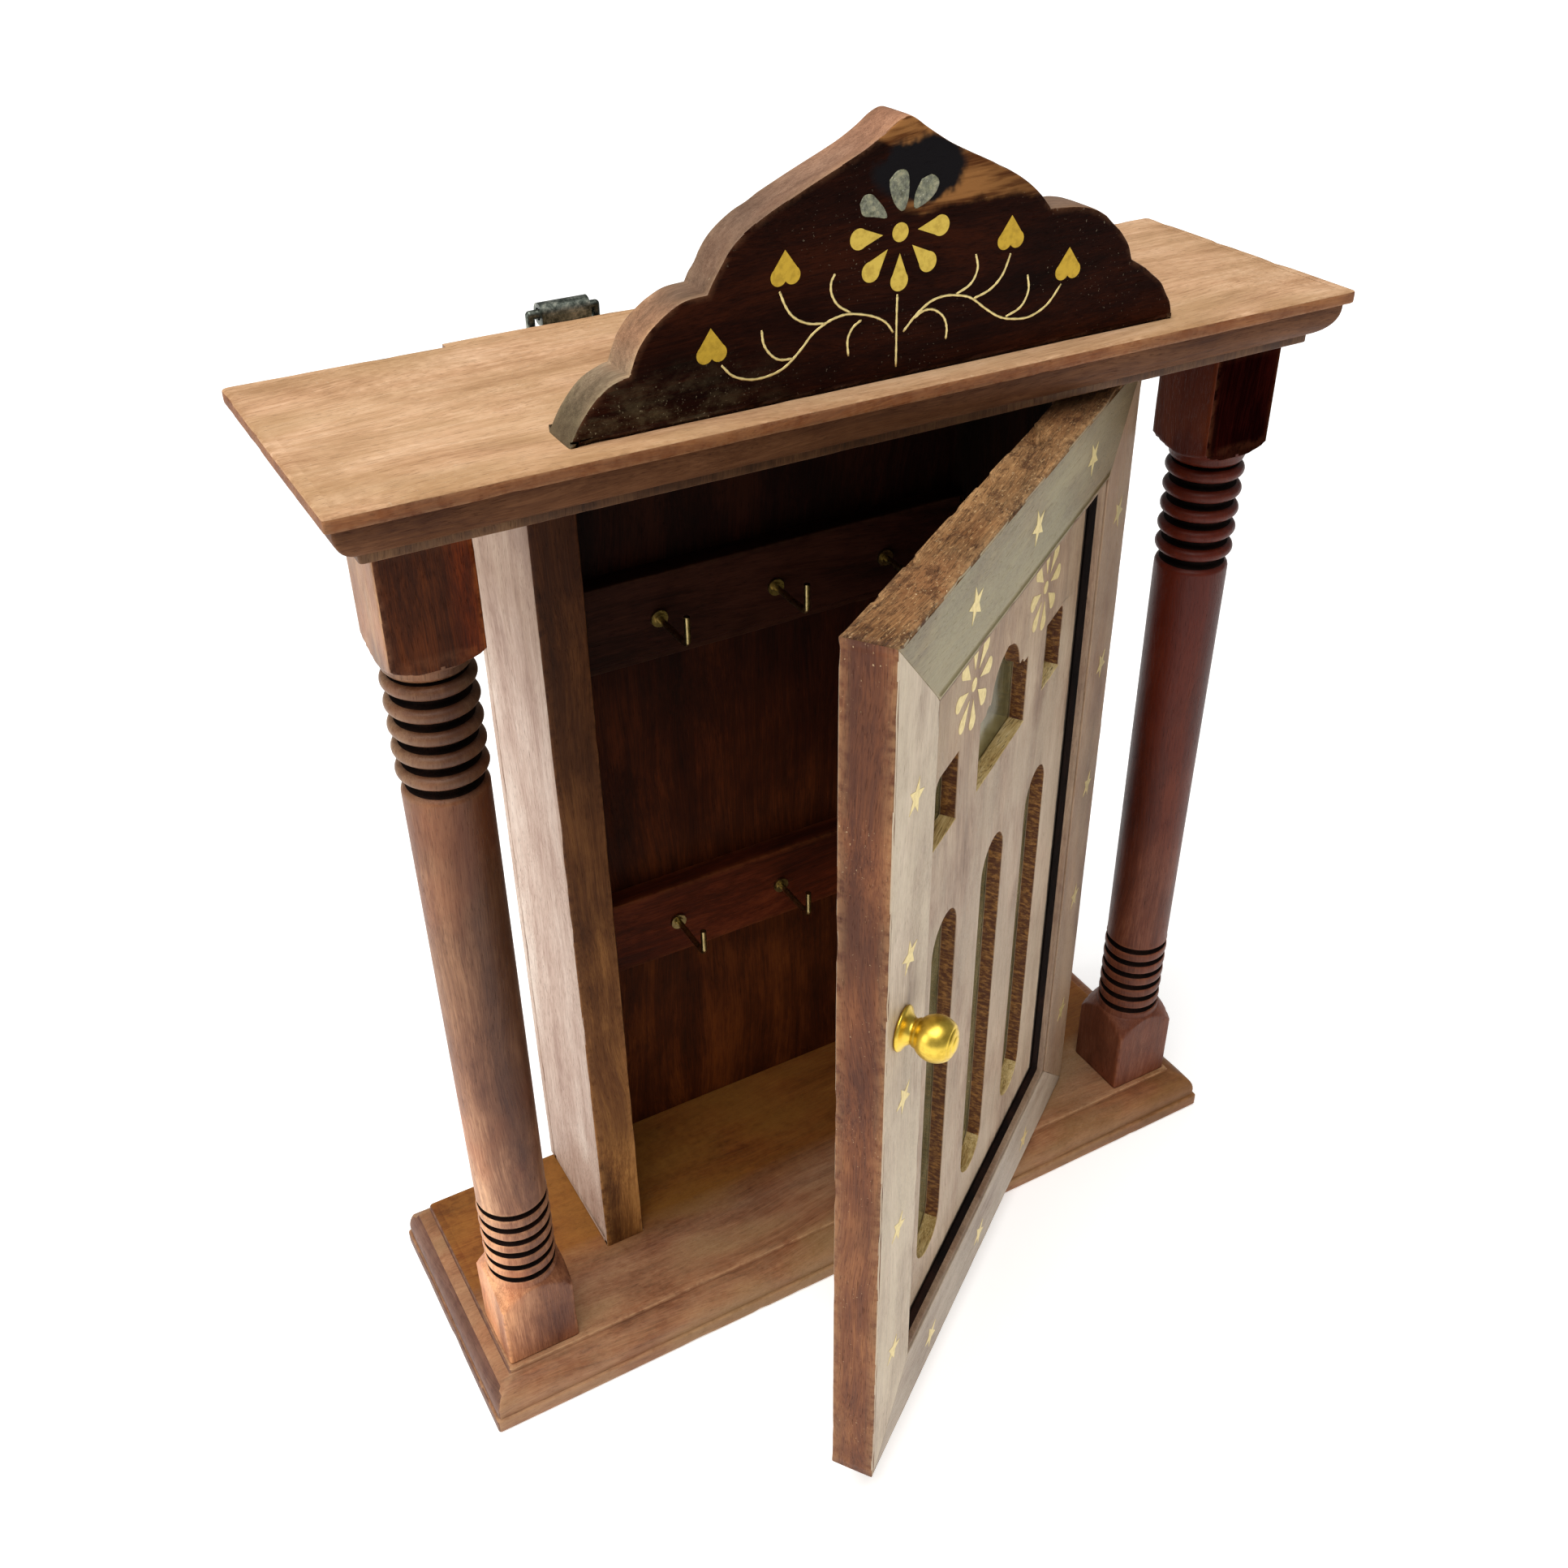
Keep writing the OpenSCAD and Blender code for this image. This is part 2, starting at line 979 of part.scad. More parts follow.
module door_moulding() {
    x0 = door_x0 + frame_w;
    x1 = x0 + open_w;
    z0 = door_z0 + frame_w;
    z1 = z0 + open_h;
    a = frame_w;
    b = door_w - frame_w;
    c = door_h - frame_w;
    m = strip_w;
    color(rosewood)
        door_pose() {
            intersection() {
                translate([x0, door_front, z0])
                    linear_extrude(height = open_h)
                        strip2d();
                door_plate(-1, 6)
                    polygon([[a, a], [a + m, a + m], [a + m, c - m], [a, c]]);
            }
            intersection() {
                translate([x1, door_front, z0])
                    linear_extrude(height = open_h)
                        mirror([1, 0])
                            strip2d();
                door_plate(-1, 6)
                    polygon([[b, a], [b, c], [b - m, c - m], [b - m, a + m]]);
            }
            intersection() {
                translate([x0, door_front, z0])
                    rotate([90, 0, 90])
                        linear_extrude(height = open_w)
                            mirror([1, -1])
                                strip2d();
                door_plate(-1, 6)
                    polygon([[a, a], [b, a], [b - m, a + m], [a + m, a + m]]);
            }
            intersection() {
                translate([x0, door_front, z1])
                    mirror([0, 0, 1])
                        rotate([90, 0, 90])
                            linear_extrude(height = open_w)
                                mirror([1, -1])
                                    strip2d();
                door_plate(-1, 6)
                    polygon([[a, c], [a + m, c - m], [b - m, c - m], [b, c]]);
            }
        }
}

module pane2d(c) {
    translate([frame_w - rabbet + c, frame_w - rabbet + c])
        square([open_w + 2 * rabbet - 2 * c, open_h + 2 * rabbet - 2 * c]);
}

module lancet2d() {
    r = 8.1;
    low = 38.5;
    high = 154;
    union() {
        translate([0, low + r])
            circle(r = r);
        translate([0, high - r])
            circle(r = r);
        translate([-r, low + r])
            square([2 * r, high - low - 2 * r]);
    }
}

module cusped_arch2d() {
    union() {
        translate([-16.7, 178])
            square([33.4, 18.2]);
        translate([0, 196.4])
            circle(r = 9.9);
        polygon([[-3.2, 204.6], [0, 207.2], [3.2, 204.6]]);
        for (s = [-1, 1])
            translate([s * 11.5, 196])
                circle(r = 1.7);
    }
}

module side_arch2d() {
    w = 13.8;
    low = 179.3;
    high = 197.2;
    r = 2.6;
    union() {
        translate([-w / 2, low])
            square([w, high - r - low]);
        translate([-w / 2, low])
            square([w - r, high - low]);
        translate([w / 2 - r, high - r])
            circle(r = r);
    }
}

module jali_openings2d() {
    translate([jali_mid, 0]) {
        for (s = [-33, 0, 33])
            translate([s, 0])
                lancet2d();
        cusped_arch2d();
        translate([37.2, 0])
            side_arch2d();
        translate([-37.2, 0])
            mirror([1, 0])
                side_arch2d();
    }
}

module panel_flowers2d() {
    for (s = [-24.6, 24.6])
        translate([flower_mid + s, flower_v]) {
            circle(r = 1.6);
            ring_of_petals(0, 7, 1.95, 3.6, 11.3);
        }
}

module jali_panel() {
    color(rosewood)
        door_pose()
            difference() {
                door_plate(panel_drop, panel_drop + panel_t)
                    difference() {
                        pane2d(0.1);
                        jali_openings2d();
                    }
                door_plate(panel_drop - 1, panel_drop + inlay_t)
                    panel_flowers2d();
            }
}

module door_glass() {
    d0 = panel_drop + panel_t + 0.02;
    color([0.35, 0.45, 0.38, 0.5])
        door_pose()
            door_plate(d0, d0 + glass_t - 0.04)
                pane2d(0.3);
}

module retainer_pins() {
    color(steel)
        door_pose()
            pin_places()
                cylinder(r = 0.5, h = 5);
}

module pin_places() {
    y = door_front + panel_drop + panel_t + glass_t + 0.8;
    for (z = [60, 125, 190]) {
        translate([door_x0 + frame_w + 1.2, y, door_z0 + z])
            rotate([0, -90, 0])
                children();
        translate([door_x0 + door_w - frame_w - 1.2, y, door_z0 + z])
            rotate([0, 90, 0])
                children();
    }
}

module glass_retainers() {
    d0 = panel_drop + panel_t + glass_t;
    a = frame_w - rabbet + 0.05;
    b = door_w - a;
    c = door_h - a;
    m = 6;
    color(rosewood)
        door_pose()
            difference() {
                union() {
                    door_plate(d0, door_t - 0.2)
                        translate([a, a])
                            square([m, c - a]);
                    door_plate(d0, door_t - 0.2)
                        translate([b - m, a])
                            square([m, c - a]);
                    door_plate(d0, door_t - 0.2)
                        translate([a + m + 0.05, a])
                            square([b - a - 2 * m - 0.1, m]);
                    door_plate(d0, door_t - 0.2)
                        translate([a + m + 0.05, c - m])
                            square([b - a - 2 * m - 0.1, m]);
                }
                pin_places()
                    translate([0, 0, -0.02])
                        cylinder(r = 0.52, h = 6);
            }
}

module frame_stars() {
    color(brass)
        door_pose()
            door_plate(-proud, inlay_t)
                star_field2d();
}

module panel_flowers() {
    color(brass)
        door_pose()
            door_plate(panel_drop - proud, panel_drop + inlay_t)
                panel_flowers2d();
}

// Turned knob: foot at 0, nose along +Z
module door_knob() {
    r = knob_r;
    cz = 7.9;
    color(brass)
        door_pose()
            translate([door_x0 + knob_s, door_front, door_z0 + knob_z])
                rotate([90, 0, 0])
                    difference() {
                        rotate_extrude()
                            union() {
                                polygon([
                                    [0, 0], [5.1, 0], [5.3, 0.4], [5.1, 0.9], [4.1, 1.4],
                                    [3.3, 2.3], [3.0, 3.2], [3.6, 3.7], [3.6, 4.3], [0, 4.3]
                                ]);
                                intersection() {
                                    translate([0, cz])
                                        circle(r = r);
                                    translate([0, 3.8])
                                        square([r, 7.6]);
                                }
                                square([3.4, 12.1]);
                                square([1.5, 12.6]);
                            }
                        translate([0, 0, -1])
                            cylinder(r = 1.5, h = 7);
                    }
}

module knob_screw() {
    color(steel)
        door_pose()
            translate([door_x0 + knob_s, door_front + door_t - 0.9, door_z0 + knob_z])
                rotate([90, 0, 0])
                    union() {
                        translate([0, 0, -0.8])
                            cylinder(r = 3, h = 0.8);
                        cylinder(r = 1.45, h = door_t - 0.9 + 5.5);
                    }
}

module door_leaf_pockets() {
    for (z = hinge_zs)
        translate([case_x - leaf_w - 0.02, side_front - gap + 0.25 - leaf_t - 0.02, z - hinge_h / 2 - 0.02])
            cube([leaf_w + 1, leaf_t + 1, hinge_h + 0.04]);
}

module door_screws(c) {
    for (z = hinge_zs)
        for (d = [-7.5, 7.5])
            translate([case_x - 6, side_front - gap + 0.2, z + d])
                rotate([90, 0, 0])
                    wood_screw(1.7 + c, 0.85 + c, 8 + c);
}

module door_hinge_leaves() {
    color(brass)
        door_pose()
            difference() {
                for (z = hinge_zs)
                    union() {
                        leaf_plate(door_leaf_y, z);
                        knuckle(z, 1, door_leaf_y);
                    }
                hinge_bores();
                door_screws(0.02);
            }
}

module door_hinge_screws() {
    color(brass)
        door_pose()
            door_screws(0);
}

// ---- assembly ----------------------------------------------------------

base_board();
cornice_board();
cornice_fillet();
crest_board();
crest_flower();
crest_worn_petals();
crest_hearts();
crest_vines();
left_side_panel();
right_side_panel();
back_panel();
back_nails();
upper_hook_rail();
lower_hook_rail();
upper_key_hooks();
lower_key_hooks();
left_column();
right_column();
base_screws();
frame_hinge_leaves();
frame_hinge_screws();
hinge_pins();
left_hanger_strap();
right_hanger_strap();
hanger_screws();
left_hanger_ring();
right_hanger_ring();
free_stile();
hinge_stile();
top_rail();
bottom_rail();
door_moulding();
jali_panel();
door_glass();
glass_retainers();
retainer_pins();
frame_stars();
panel_flowers();
door_knob();
knob_screw();
door_hinge_leaves();
door_hinge_screws();
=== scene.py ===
"""Looks of the key cabinet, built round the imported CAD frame."""

import math

import bpy
import numpy as np
from mathutils import Matrix, Vector
from mathutils.geometry import tessellate_polygon


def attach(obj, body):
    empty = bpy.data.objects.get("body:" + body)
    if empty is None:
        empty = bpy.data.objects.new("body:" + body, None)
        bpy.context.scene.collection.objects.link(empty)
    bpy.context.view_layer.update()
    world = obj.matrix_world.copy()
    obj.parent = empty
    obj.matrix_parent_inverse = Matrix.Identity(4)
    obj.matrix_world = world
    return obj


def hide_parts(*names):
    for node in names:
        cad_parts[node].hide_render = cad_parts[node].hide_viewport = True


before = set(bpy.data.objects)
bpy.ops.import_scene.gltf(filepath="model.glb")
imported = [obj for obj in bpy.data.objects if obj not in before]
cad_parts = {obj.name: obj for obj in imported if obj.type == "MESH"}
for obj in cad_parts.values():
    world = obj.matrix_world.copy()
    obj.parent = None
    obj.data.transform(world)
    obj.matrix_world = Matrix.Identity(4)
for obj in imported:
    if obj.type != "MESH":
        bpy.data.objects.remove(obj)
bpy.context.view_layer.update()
MM = 0.001
TAU = 2 * math.pi
X, Y, Z = 0, 1, 2


def sin_deg(angle):
    return math.sin(math.radians(angle))


def cos_deg(angle):
    return math.cos(math.radians(angle))


# ---------------------------------------------------------------- noise and meshes

def vnoise(points, size, seed):
    """Smooth noise from -1 to 1 at points in mm; size is the cell, one number or three."""
    q = points / np.asarray(size, float) + seed * 7.31
    i = np.floor(q).astype(np.int64)
    f = q - i
    f = f * f * (3 - 2 * f)
    total = np.zeros(len(q))
    for corner in np.ndindex(2, 2, 2):
        at = i + corner
        h = (at[:, 0] * 73856093) ^ (at[:, 1] * 19349663) ^ (at[:, 2] * 83492791)
        h = (h ^ (seed * 97711)) & 0xFFFFFFFF
        h = ((h ^ (h >> 15)) * 2246822519) & 0xFFFFFFFF
        h = ((h ^ (h >> 13)) * 3266489917) & 0xFFFFFFFF
        value = ((h ^ (h >> 16)) & 0xFFFF) / 32767.5 - 1
        weight = np.where(corner, f, 1 - f)
        total += value * weight[:, 0] * weight[:, 1] * weight[:, 2]
    return total


def make_mesh(name, verts, faces, edge=None, cut=None, matrix=None, weighted=True):
    """A smooth-shaded object from vertices in mm. edge marks worn corners, cut marks sawn faces."""
    me = bpy.data.meshes.new(name)
    me.from_pydata((np.asarray(verts) * MM).tolist(), [], faces)
    me.validate()
    for label, data in (("edge", edge), ("cut", cut)):
        values = np.zeros(len(verts)) if data is None else np.asarray(data)
        me.attributes.new(label, "FLOAT", "POINT").data.foreach_set("value", values.astype(np.float32))
    me.polygons.foreach_set("use_smooth", [True] * len(me.polygons))
    ob = bpy.data.objects.new(name, me)
    bpy.context.scene.collection.objects.link(ob)
    if matrix is not None:
        ob.matrix_world = matrix
    if weighted:
        ob.modifiers.new("weighted", "WEIGHTED_NORMAL").keep_sharp = True
    me.update()
    return ob


def triangles(faces):
    return np.array([(f[0], f[k], f[k + 1]) for f in faces for k in range(1, len(f) - 1)])


def flip_outward(verts, faces):
    """Faces turned so that the closed mesh's volume is positive."""
    t = np.asarray(verts)[triangles(faces)]
    volume = np.sum(t[:, 0] * np.cross(t[:, 1], t[:, 2]))
    return [tuple(reversed(f)) for f in faces] if volume < 0 else faces


def vertex_normals(verts, faces):
    n = np.zeros_like(verts)
    tri = triangles(faces)
    a, b, c = (verts[tri[:, k]] for k in range(3))
    for k in range(3):
        np.add.at(n, tri[:, k], np.cross(b - a, c - a))
    return n / np.maximum(np.linalg.norm(n, axis=1), 1e-9)[:, None]


def worn_mesh(name, verts, faces, edge, seed, worn, dents, threshold=0.3, cut=None, matrix=None):
    """A closed mesh whose edges are pushed in by irregular amounts, as handling does."""
    faces = flip_outward(verts, faces)
    v = np.asarray(verts, float)
    soft = worn * (0.5 + 0.5 * vnoise(v, 14, seed))
    nick = dents * np.maximum(0, vnoise(v, 4.5, seed + 3) - threshold)
    v = v - vertex_normals(v, faces) * (np.asarray(edge, float) * (soft + nick))[:, None]
    return make_mesh(name, v, faces, edge, cut, matrix)


def bridge(a, b, m):
    """Quads between two closed rings of m vertices that start at a and b."""
    return [(a + j, a + (j + 1) % m, b + (j + 1) % m, b + j) for j in range(m)]


def capped(rings, m):
    """Faces of a stack of rings of m vertices each, closed at both ends."""
    faces = []
    for k in range(rings - 1):
        faces += bridge(k * m, (k + 1) * m, m)
    return faces + [tuple(range(m))[::-1], tuple((rings - 1) * m + j for j in range(m))]


# ---------------------------------------------------------------- outlines

NEAR = [0, 0.35, 1.0, 2.2]  # where points stand near a straight edge's ends


def densify(points, step, closed=True):
    """Points along the sides of a polygon or line, closer together near its corners."""
    out = []
    n = len(points)
    for i in range(n if closed else n - 1):
        a, b = np.array(points[i], float), np.array(points[(i + 1) % n], float)
        length = np.linalg.norm(b - a)
        if length > 3 * step:
            ts = [x / length for x in NEAR]
            middle = length - 2 * NEAR[-1]
            count = max(1, int(round(middle / step)))
            ts += [(NEAR[-1] + middle * k / count) / length for k in range(1, count)]
            ts += [1 - x / length for x in reversed(NEAR[1:])]
        else:
            count = max(1, int(round(length / step)))
            ts = [k / count for k in range(count)]
        out += [a + (b - a) * t for t in ts]
    return np.array(out)


def rect(u0, v0, u1, v1, step):
    return densify([(u0, v0), (u1, v0), (u1, v1), (u0, v1)], step)


def arc(cx, cy, r, a0, a1, count):
    angles = [a0 + (a1 - a0) * k / count for k in range(count + 1)]
    return [(cx + r * cos_deg(a), cy + r * sin_deg(a)) for a in angles]


def evened(points, step=2.0):
    """Extra points along the long sides of a closed outline."""
    out = []
    for i, point in enumerate(points):
        p0, p1 = np.array(point, float), np.array(points[(i + 1) % len(points)], float)
        k = max(1, int(np.linalg.norm(p1 - p0) / step))
        out += [p0 + (p1 - p0) * j / k for j in range(k)]
    return np.array(out)


def smooth_run(points, per):
    """Points of a smooth curve through the given ones, per for each span."""
    p = [np.array(x, float) for x in points]
    out = []
    for i in range(len(p) - 1):
        a = p[i - 1] if i else 2 * p[0] - p[1]
        b, c = p[i], p[i + 1]
        d = p[i + 2] if i + 2 < len(p) else 2 * p[-1] - p[-2]
        for k in range(per):
            t = k / per
            square, cube = (2 * a - 5 * b + 4 * c - d) * t * t, (3 * b - a - 3 * c + d) * t ** 3
            out.append(0.5 * (2 * b + (c - a) * t + square + cube))
    out.append(p[-1])
    return out


def signed_area(p):
    return 0.5 * np.sum(p[:, 0] * np.roll(p[:, 1], -1) - np.roll(p[:, 0], -1) * p[:, 1])


def inward(p, hole, limit):
    """Unit inward directions, mitred, for a closed contour of points."""
    t0 = p - np.roll(p, 1, axis=0)
    t1 = np.roll(p, -1, axis=0) - p
    t0 /= np.maximum(np.linalg.norm(t0, axis=1), 1e-9)[:, None]
    t1 /= np.maximum(np.linalg.norm(t1, axis=1), 1e-9)[:, None]
    n0 = np.stack([-t0[:, 1], t0[:, 0]], 1)
    n1 = np.stack([-t1[:, 1], t1[:, 0]], 1)
    n = n0 + n1
    n /= np.maximum(np.linalg.norm(n, axis=1), 1e-9)[:, None]
    n = n / np.maximum(np.sum(n * n1, axis=1), limit)[:, None]
    return -n if (signed_area(p) < 0) != hole else n


# ---------------------------------------------------------------- solids

# how a plate's edge rounds over: inset and depth as shares of its radius, wear
ROUND_OVER = [(1.5, 0, 0.55), (0.62, 0.07, 0.9), (0.29, 0.29, 1.0), (0.07, 0.62, 0.9), (0, 1.5, 0.55)]
WALL_RINGS = 3
SHARP_R = 0.35  # edges tighter than this wear less


def plate(name, contours, depth, place, r=0.45, seed=1, matrix=None, worn=0.12, dents=0.5, cap=1.9,
          wall_cut=0.0, threshold=0.3, limit=0.6):
    """A flat board with softened edges. contours: the outline, then its holes. place maps u, v, w to
    x, y, z. r is the edges' radius, or a function that gives it at a point of a contour."""
    # inset, inset as a share of r, depth, depth as a share of r, wear
    rings = [(cap, 0, 0, 0, 0.0)] + [(0, inset, 0, down, wear) for inset, down, wear in ROUND_OVER]
    half = len(rings)
    middle = [(0, 0, depth * (k + 1) / (WALL_RINGS + 1), 0, 0.0) for k in range(WALL_RINGS)]
    rings += middle + [(i, ir, depth - w, -wr, e) for i, ir, w, wr, e in reversed(rings)]
    verts, edge, cut, faces, rims, ends = [], [], [], [], [], []
    for ci, contour in enumerate(contours):
        c = np.asarray(contour, float)
        n = inward(c, ci > 0, limit)
        rr = np.array([r(q) for q in c]) if callable(r) else np.full(len(c), float(r))
        share = np.minimum(1.0, rr / SHARP_R) * (0.5 if ci else 1.0)
        m, first = len(c), len(verts)
        for k, (i0, ir, w0, wr, e) in enumerate(rings):
            ring = c + n * (i0 + ir * rr)[:, None]
            verts += [place(ring[j, 0], ring[j, 1], w0 + wr * rr[j]) for j in range(m)]
            edge += (e * share).tolist()
            on_wall = half - 1 <= k < len(rings) - half + 1
            cut += [wall_cut if ci and on_wall else 0.0] * m
            if k:
                a, b = first + (k - 1) * m, first + k * m
                faces += bridge(b, a, m) if ci else bridge(a, b, m)
        rims.append([Vector((*q, 0)) for q in c + n * cap])
        ends += [(first + j, first + (len(rings) - 1) * m + j) for j in range(m)]
    flat = [q for rim in rims for q in rim]
    turn = signed_area(np.asarray(contours[0]))
    for t in tessellate_polygon(rims):
        a, b, c = (flat[i] for i in t)
        s = (b.x - a.x) * (c.y - a.y) - (b.y - a.y) * (c.x - a.x)
        i, j, k = t if s * turn > 0 else (t[0], t[2], t[1])
        faces.append((ends[i][0], ends[k][0], ends[j][0]))
        faces.append((ends[i][1], ends[j][1], ends[k][1]))
    return worn_mesh(name, verts, faces, edge, seed, worn, dents, threshold, cut, matrix)


def ribbons(name, lines, width, deep, proud, place):
    """Thin strips let into a face along smooth lines, a little proud of it and slightly domed."""
    # across the strip, as a share of half its width, and depth
    section = [(-1, deep), (-1, -0.4 * proud), (-0.4, -proud), (0.4, -proud), (1, -0.4 * proud), (1, deep)]
    m = len(section)
    verts, faces = [], []
    for li, line in enumerate(lines):
        pts = np.array(smooth_run(line, 6))
        t = np.gradient(pts, axis=0)
        t /= np.linalg.norm(t, axis=1)[:, None]
        n = np.stack([-t[:, 1], t[:, 0]], 1)
        first = len(verts)
        for k, p in enumerate(pts):
            at_end = k in (0, len(pts) - 1)
            wide = width / 2 * (1 + 0.16 * math.sin(2.1 * k + li)) * (0.7 if at_end else 1.0)
            for off, w in section:
                verts.append(place(*(p + n[k] * off * wide), w))
        last = first + m * (len(pts) - 1)
        for a in range(first, last, m):
            faces += [(a + j, a + m + j, a + m + (j + 1) % m, a + (j + 1) % m) for j in range(m)]
        faces.append(tuple(range(first, first + m)))
        faces.append(tuple(range(last, last + m))[::-1])
    return make_mesh(name, verts, flip_outward(verts, faces))


def crusts(name, outlines, height, place, seed):
    """Lumpy leftovers of a filling that stand a little proud of a face, one per outline."""
    shares = (1.0, 1.0, 0.93, 0.8, 0.64, 0.46, 0.28, 0.12)
    verts, faces = [], []
    for oi, outline in enumerate(outlines):
        c = np.array(smooth_run(list(outline) + [outline[0]], 4)[:-1])
        m, first = len(c), len(verts)
        middle = c.mean(0)
        for ri, share in enumerate(shares):
            ring = middle + (c - middle) * share
            at = np.column_stack([ring, np.zeros(m)])
            lump = vnoise(at, (1.1, 1.5, 1), seed + oi) + 0.6 * vnoise(at, 0.6, seed + 5 + oi)
            w = -height * np.clip(0.35 + 0.5 * lump, 0.08, 1) * (0.3 if ri == 1 else 1.0)
            if ri == 0:
                w = [0.3] * m
            verts += [place(*ring[j], w[j]) for j in range(m)]
        last = first + (len(shares) - 1) * m
        for a in range(first, last, m):
            faces += bridge(a, a + m, m)
        faces.append(tuple(last + j for j in range(m)))
        faces.append(tuple(range(first, first + m))[::-1])
    return make_mesh(name, verts, flip_outward(verts, faces), weighted=False)


def loop_strip(name, inset_0, section, seed, step=4.0):
    """A strip run round inside the door with mitred corners. section: (inset, depth, wear), a closed loop."""
    u0, u1, v0, v1 = inset_0, DOOR_W - inset_0, inset_0, DOOR_H - inset_0
    nu, nv = int((u1 - u0) / step), int((v1 - v0) / step)
    m = 2 * (nu + nv)
    verts, edge, faces = [], [], []
    for inset, w, e in section:
        a0, a1, b0, b1 = u0 + inset, u1 - inset, v0 + inset, v1 - inset
        ring = [(a0 + (a1 - a0) * k / nu, b0) for k in range(nu)]
        ring += [(a1, b0 + (b1 - b0) * k / nv) for k in range(nv)]
        ring += [(a1 - (a1 - a0) * k / nu, b1) for k in range(nu)]
        ring += [(a0, b1 - (b1 - b0) * k / nv) for k in range(nv)]
        verts += [(u, w, v) for u, v in ring]
        edge += [e] * m
    for k in range(len(section)):
        faces += bridge(k * m, (k + 1) % len(section) * m, m)
    return worn_mesh(name, verts, faces, edge, seed, 0.08, 0.35, matrix=DOOR)


CORNER_R = 0.7
CAP_INSET = 2.0


def moulded(name, lo, hi, profile, z0, seed, dents, step=2.6):
    """A board moulded on all sides but its back. profile: (height, inset, wear) from bottom to top."""
    (u0, v0), (u1, v1) = lo, hi
    near = [0, 0.25 * CORNER_R, 0.55 * CORNER_R, CORNER_R, NEAR[-1]]

    def side(length):
        middle = length - 2 * near[-1]
        count = int(middle / step)
        xs = near + [near[-1] + middle * k / count for k in range(1, count)]
        return [x / length for x in xs + [length - x for x in reversed(near[1:])]]

    us, vs = side(u1 - u0), side(v1 - v0)
    path = np.array([(t, 0.0) for t in us] + [(1.0, t) for t in vs]
                    + [(1 - t, 1.0) for t in us] + [(0.0, 1 - t) for t in vs])
    ends = [(profile[k][0], profile[k][1] + CAP_INSET, 0.0) for k in (0, -1)]
    rings = [ends[0]] + list(profile) + [ends[1]]
    verts, edge = [], []
    for w, inset, e in rings:
        is_cap = inset > min(profile[0][1], profile[-1][1]) + 1.9
        a0, a1, b0 = u0 + inset, u1 - inset, v0 + inset
        b1 = v1 - (CAP_INSET if is_cap else 0)
        p = np.stack([a0 + (a1 - a0) * path[:, 0], b0 + (b1 - b0) * path[:, 1]], 1)
        q = np.clip(p, [a0 + CORNER_R, b0 + CORNER_R], [a1 - CORNER_R, b1 - CORNER_R])
        d = p - q
        both_ways = (np.abs(d) > 1e-9).all(1)
        d[both_ways] *= (CORNER_R / np.linalg.norm(d[both_ways], axis=1))[:, None]
        p = q + d
        off = [np.abs(p[:, i:i + 1] - [bounds]).min(1) for i, bounds in enumerate(((a0, a1), (b0, b1)))]
        corner = np.minimum(off[0] + off[1], 9)
        verts += [(u, v, z0 + w) for u, v in p]
        edge += np.maximum(e, 0.8 * np.exp(-(corner / 1.5) ** 2)).tolist()
    return worn_mesh(name, verts, capped(len(rings), len(path)), edge, seed, 0.15, dents)


def turned(name, axis_x, axis_y, rows, squares=(), seed=1, matrix=None, segments=72):
    """A turned post. rows: (z, radius, wear). squares: (z0, z1, half side) where a square block bounds it."""
    angles = [TAU * k / segments for k in range(segments)]
    if squares:
        for quarter in range(4):
            corner = math.pi / 4 + quarter * math.pi / 2
            angles += [corner + math.radians(d) for d in (-3.2, -1.6, -0.8, 0.8, 1.6, 3.2)]
        angles = sorted(set(round(a % TAU, 6) for a in angles))
    th = np.array(angles)
    off = np.abs(np.degrees(th) % 90 - 45)
    power = 30.0  # how square the blocks are: 2 is round
    block = (np.abs(np.cos(th)) ** power + np.abs(np.sin(th)) ** power) ** (-1 / power)
    verts, edge = [], []
    m = len(th)
    for z, r, e in rows:
        rr, wear = np.full(m, float(r)), np.full(m, float(e))
        for z0, z1, half in squares:
            if z0 <= z <= z1:
                rr = np.minimum(rr, half * block)
                wear = np.maximum(wear, 0.9 * np.exp(-(off / 3.0) ** 2) * (r > half * block - 0.3))
        verts += [(axis_x + rr[j] * np.cos(th[j]), axis_y + rr[j] * np.sin(th[j]), z) for j in range(m)]
        edge += wear.tolist()
    return worn_mesh(name, verts, capped(len(rows), m), edge, seed, 0.12, 0.45, matrix=matrix)


# ---------------------------------------------------------------- sizes, as the CAD has them, in mm

BASE_W, BASE_T = 252.0, 14.0
FRONT, BACK = -39.0, 39.0
CORNICE_W, CORNICE_FRONT, CORNICE_BACK = 255.0, -41.0, 36.0
CORNICE_Z, CORNICE_TOP = 267.0, 278.3
FILLET_INSET = 6.8
CASE_X, SIDE_T, SIDE_FRONT, SIDE_TOP = 77.0, 12.0, -5.6, 264.5
BACK_T = 3.0
RAIL_W, RAIL_H, RAIL_T, RAIL_FRONT = 130, 25, 7.0, 29
COLUMN_X, COLUMN_Y, BLOCK_HALF = 107.0, -19.4, 10.5
CREST_FRONT, CREST_T = -33.8, 10.8
HINGE_X, HINGE_Y, DOOR_REST = 78.7, -6.0, 35.0
DOOR_X0, DOOR_FRONT, DOOR_Z0 = -84.5, -18.0, 14.5
DOOR_W, DOOR_H, DOOR_T, FRAME_W = 161.5, 247.7, 11.6, 23.0
KNOB_U, KNOB_V = 8.7, 151.6

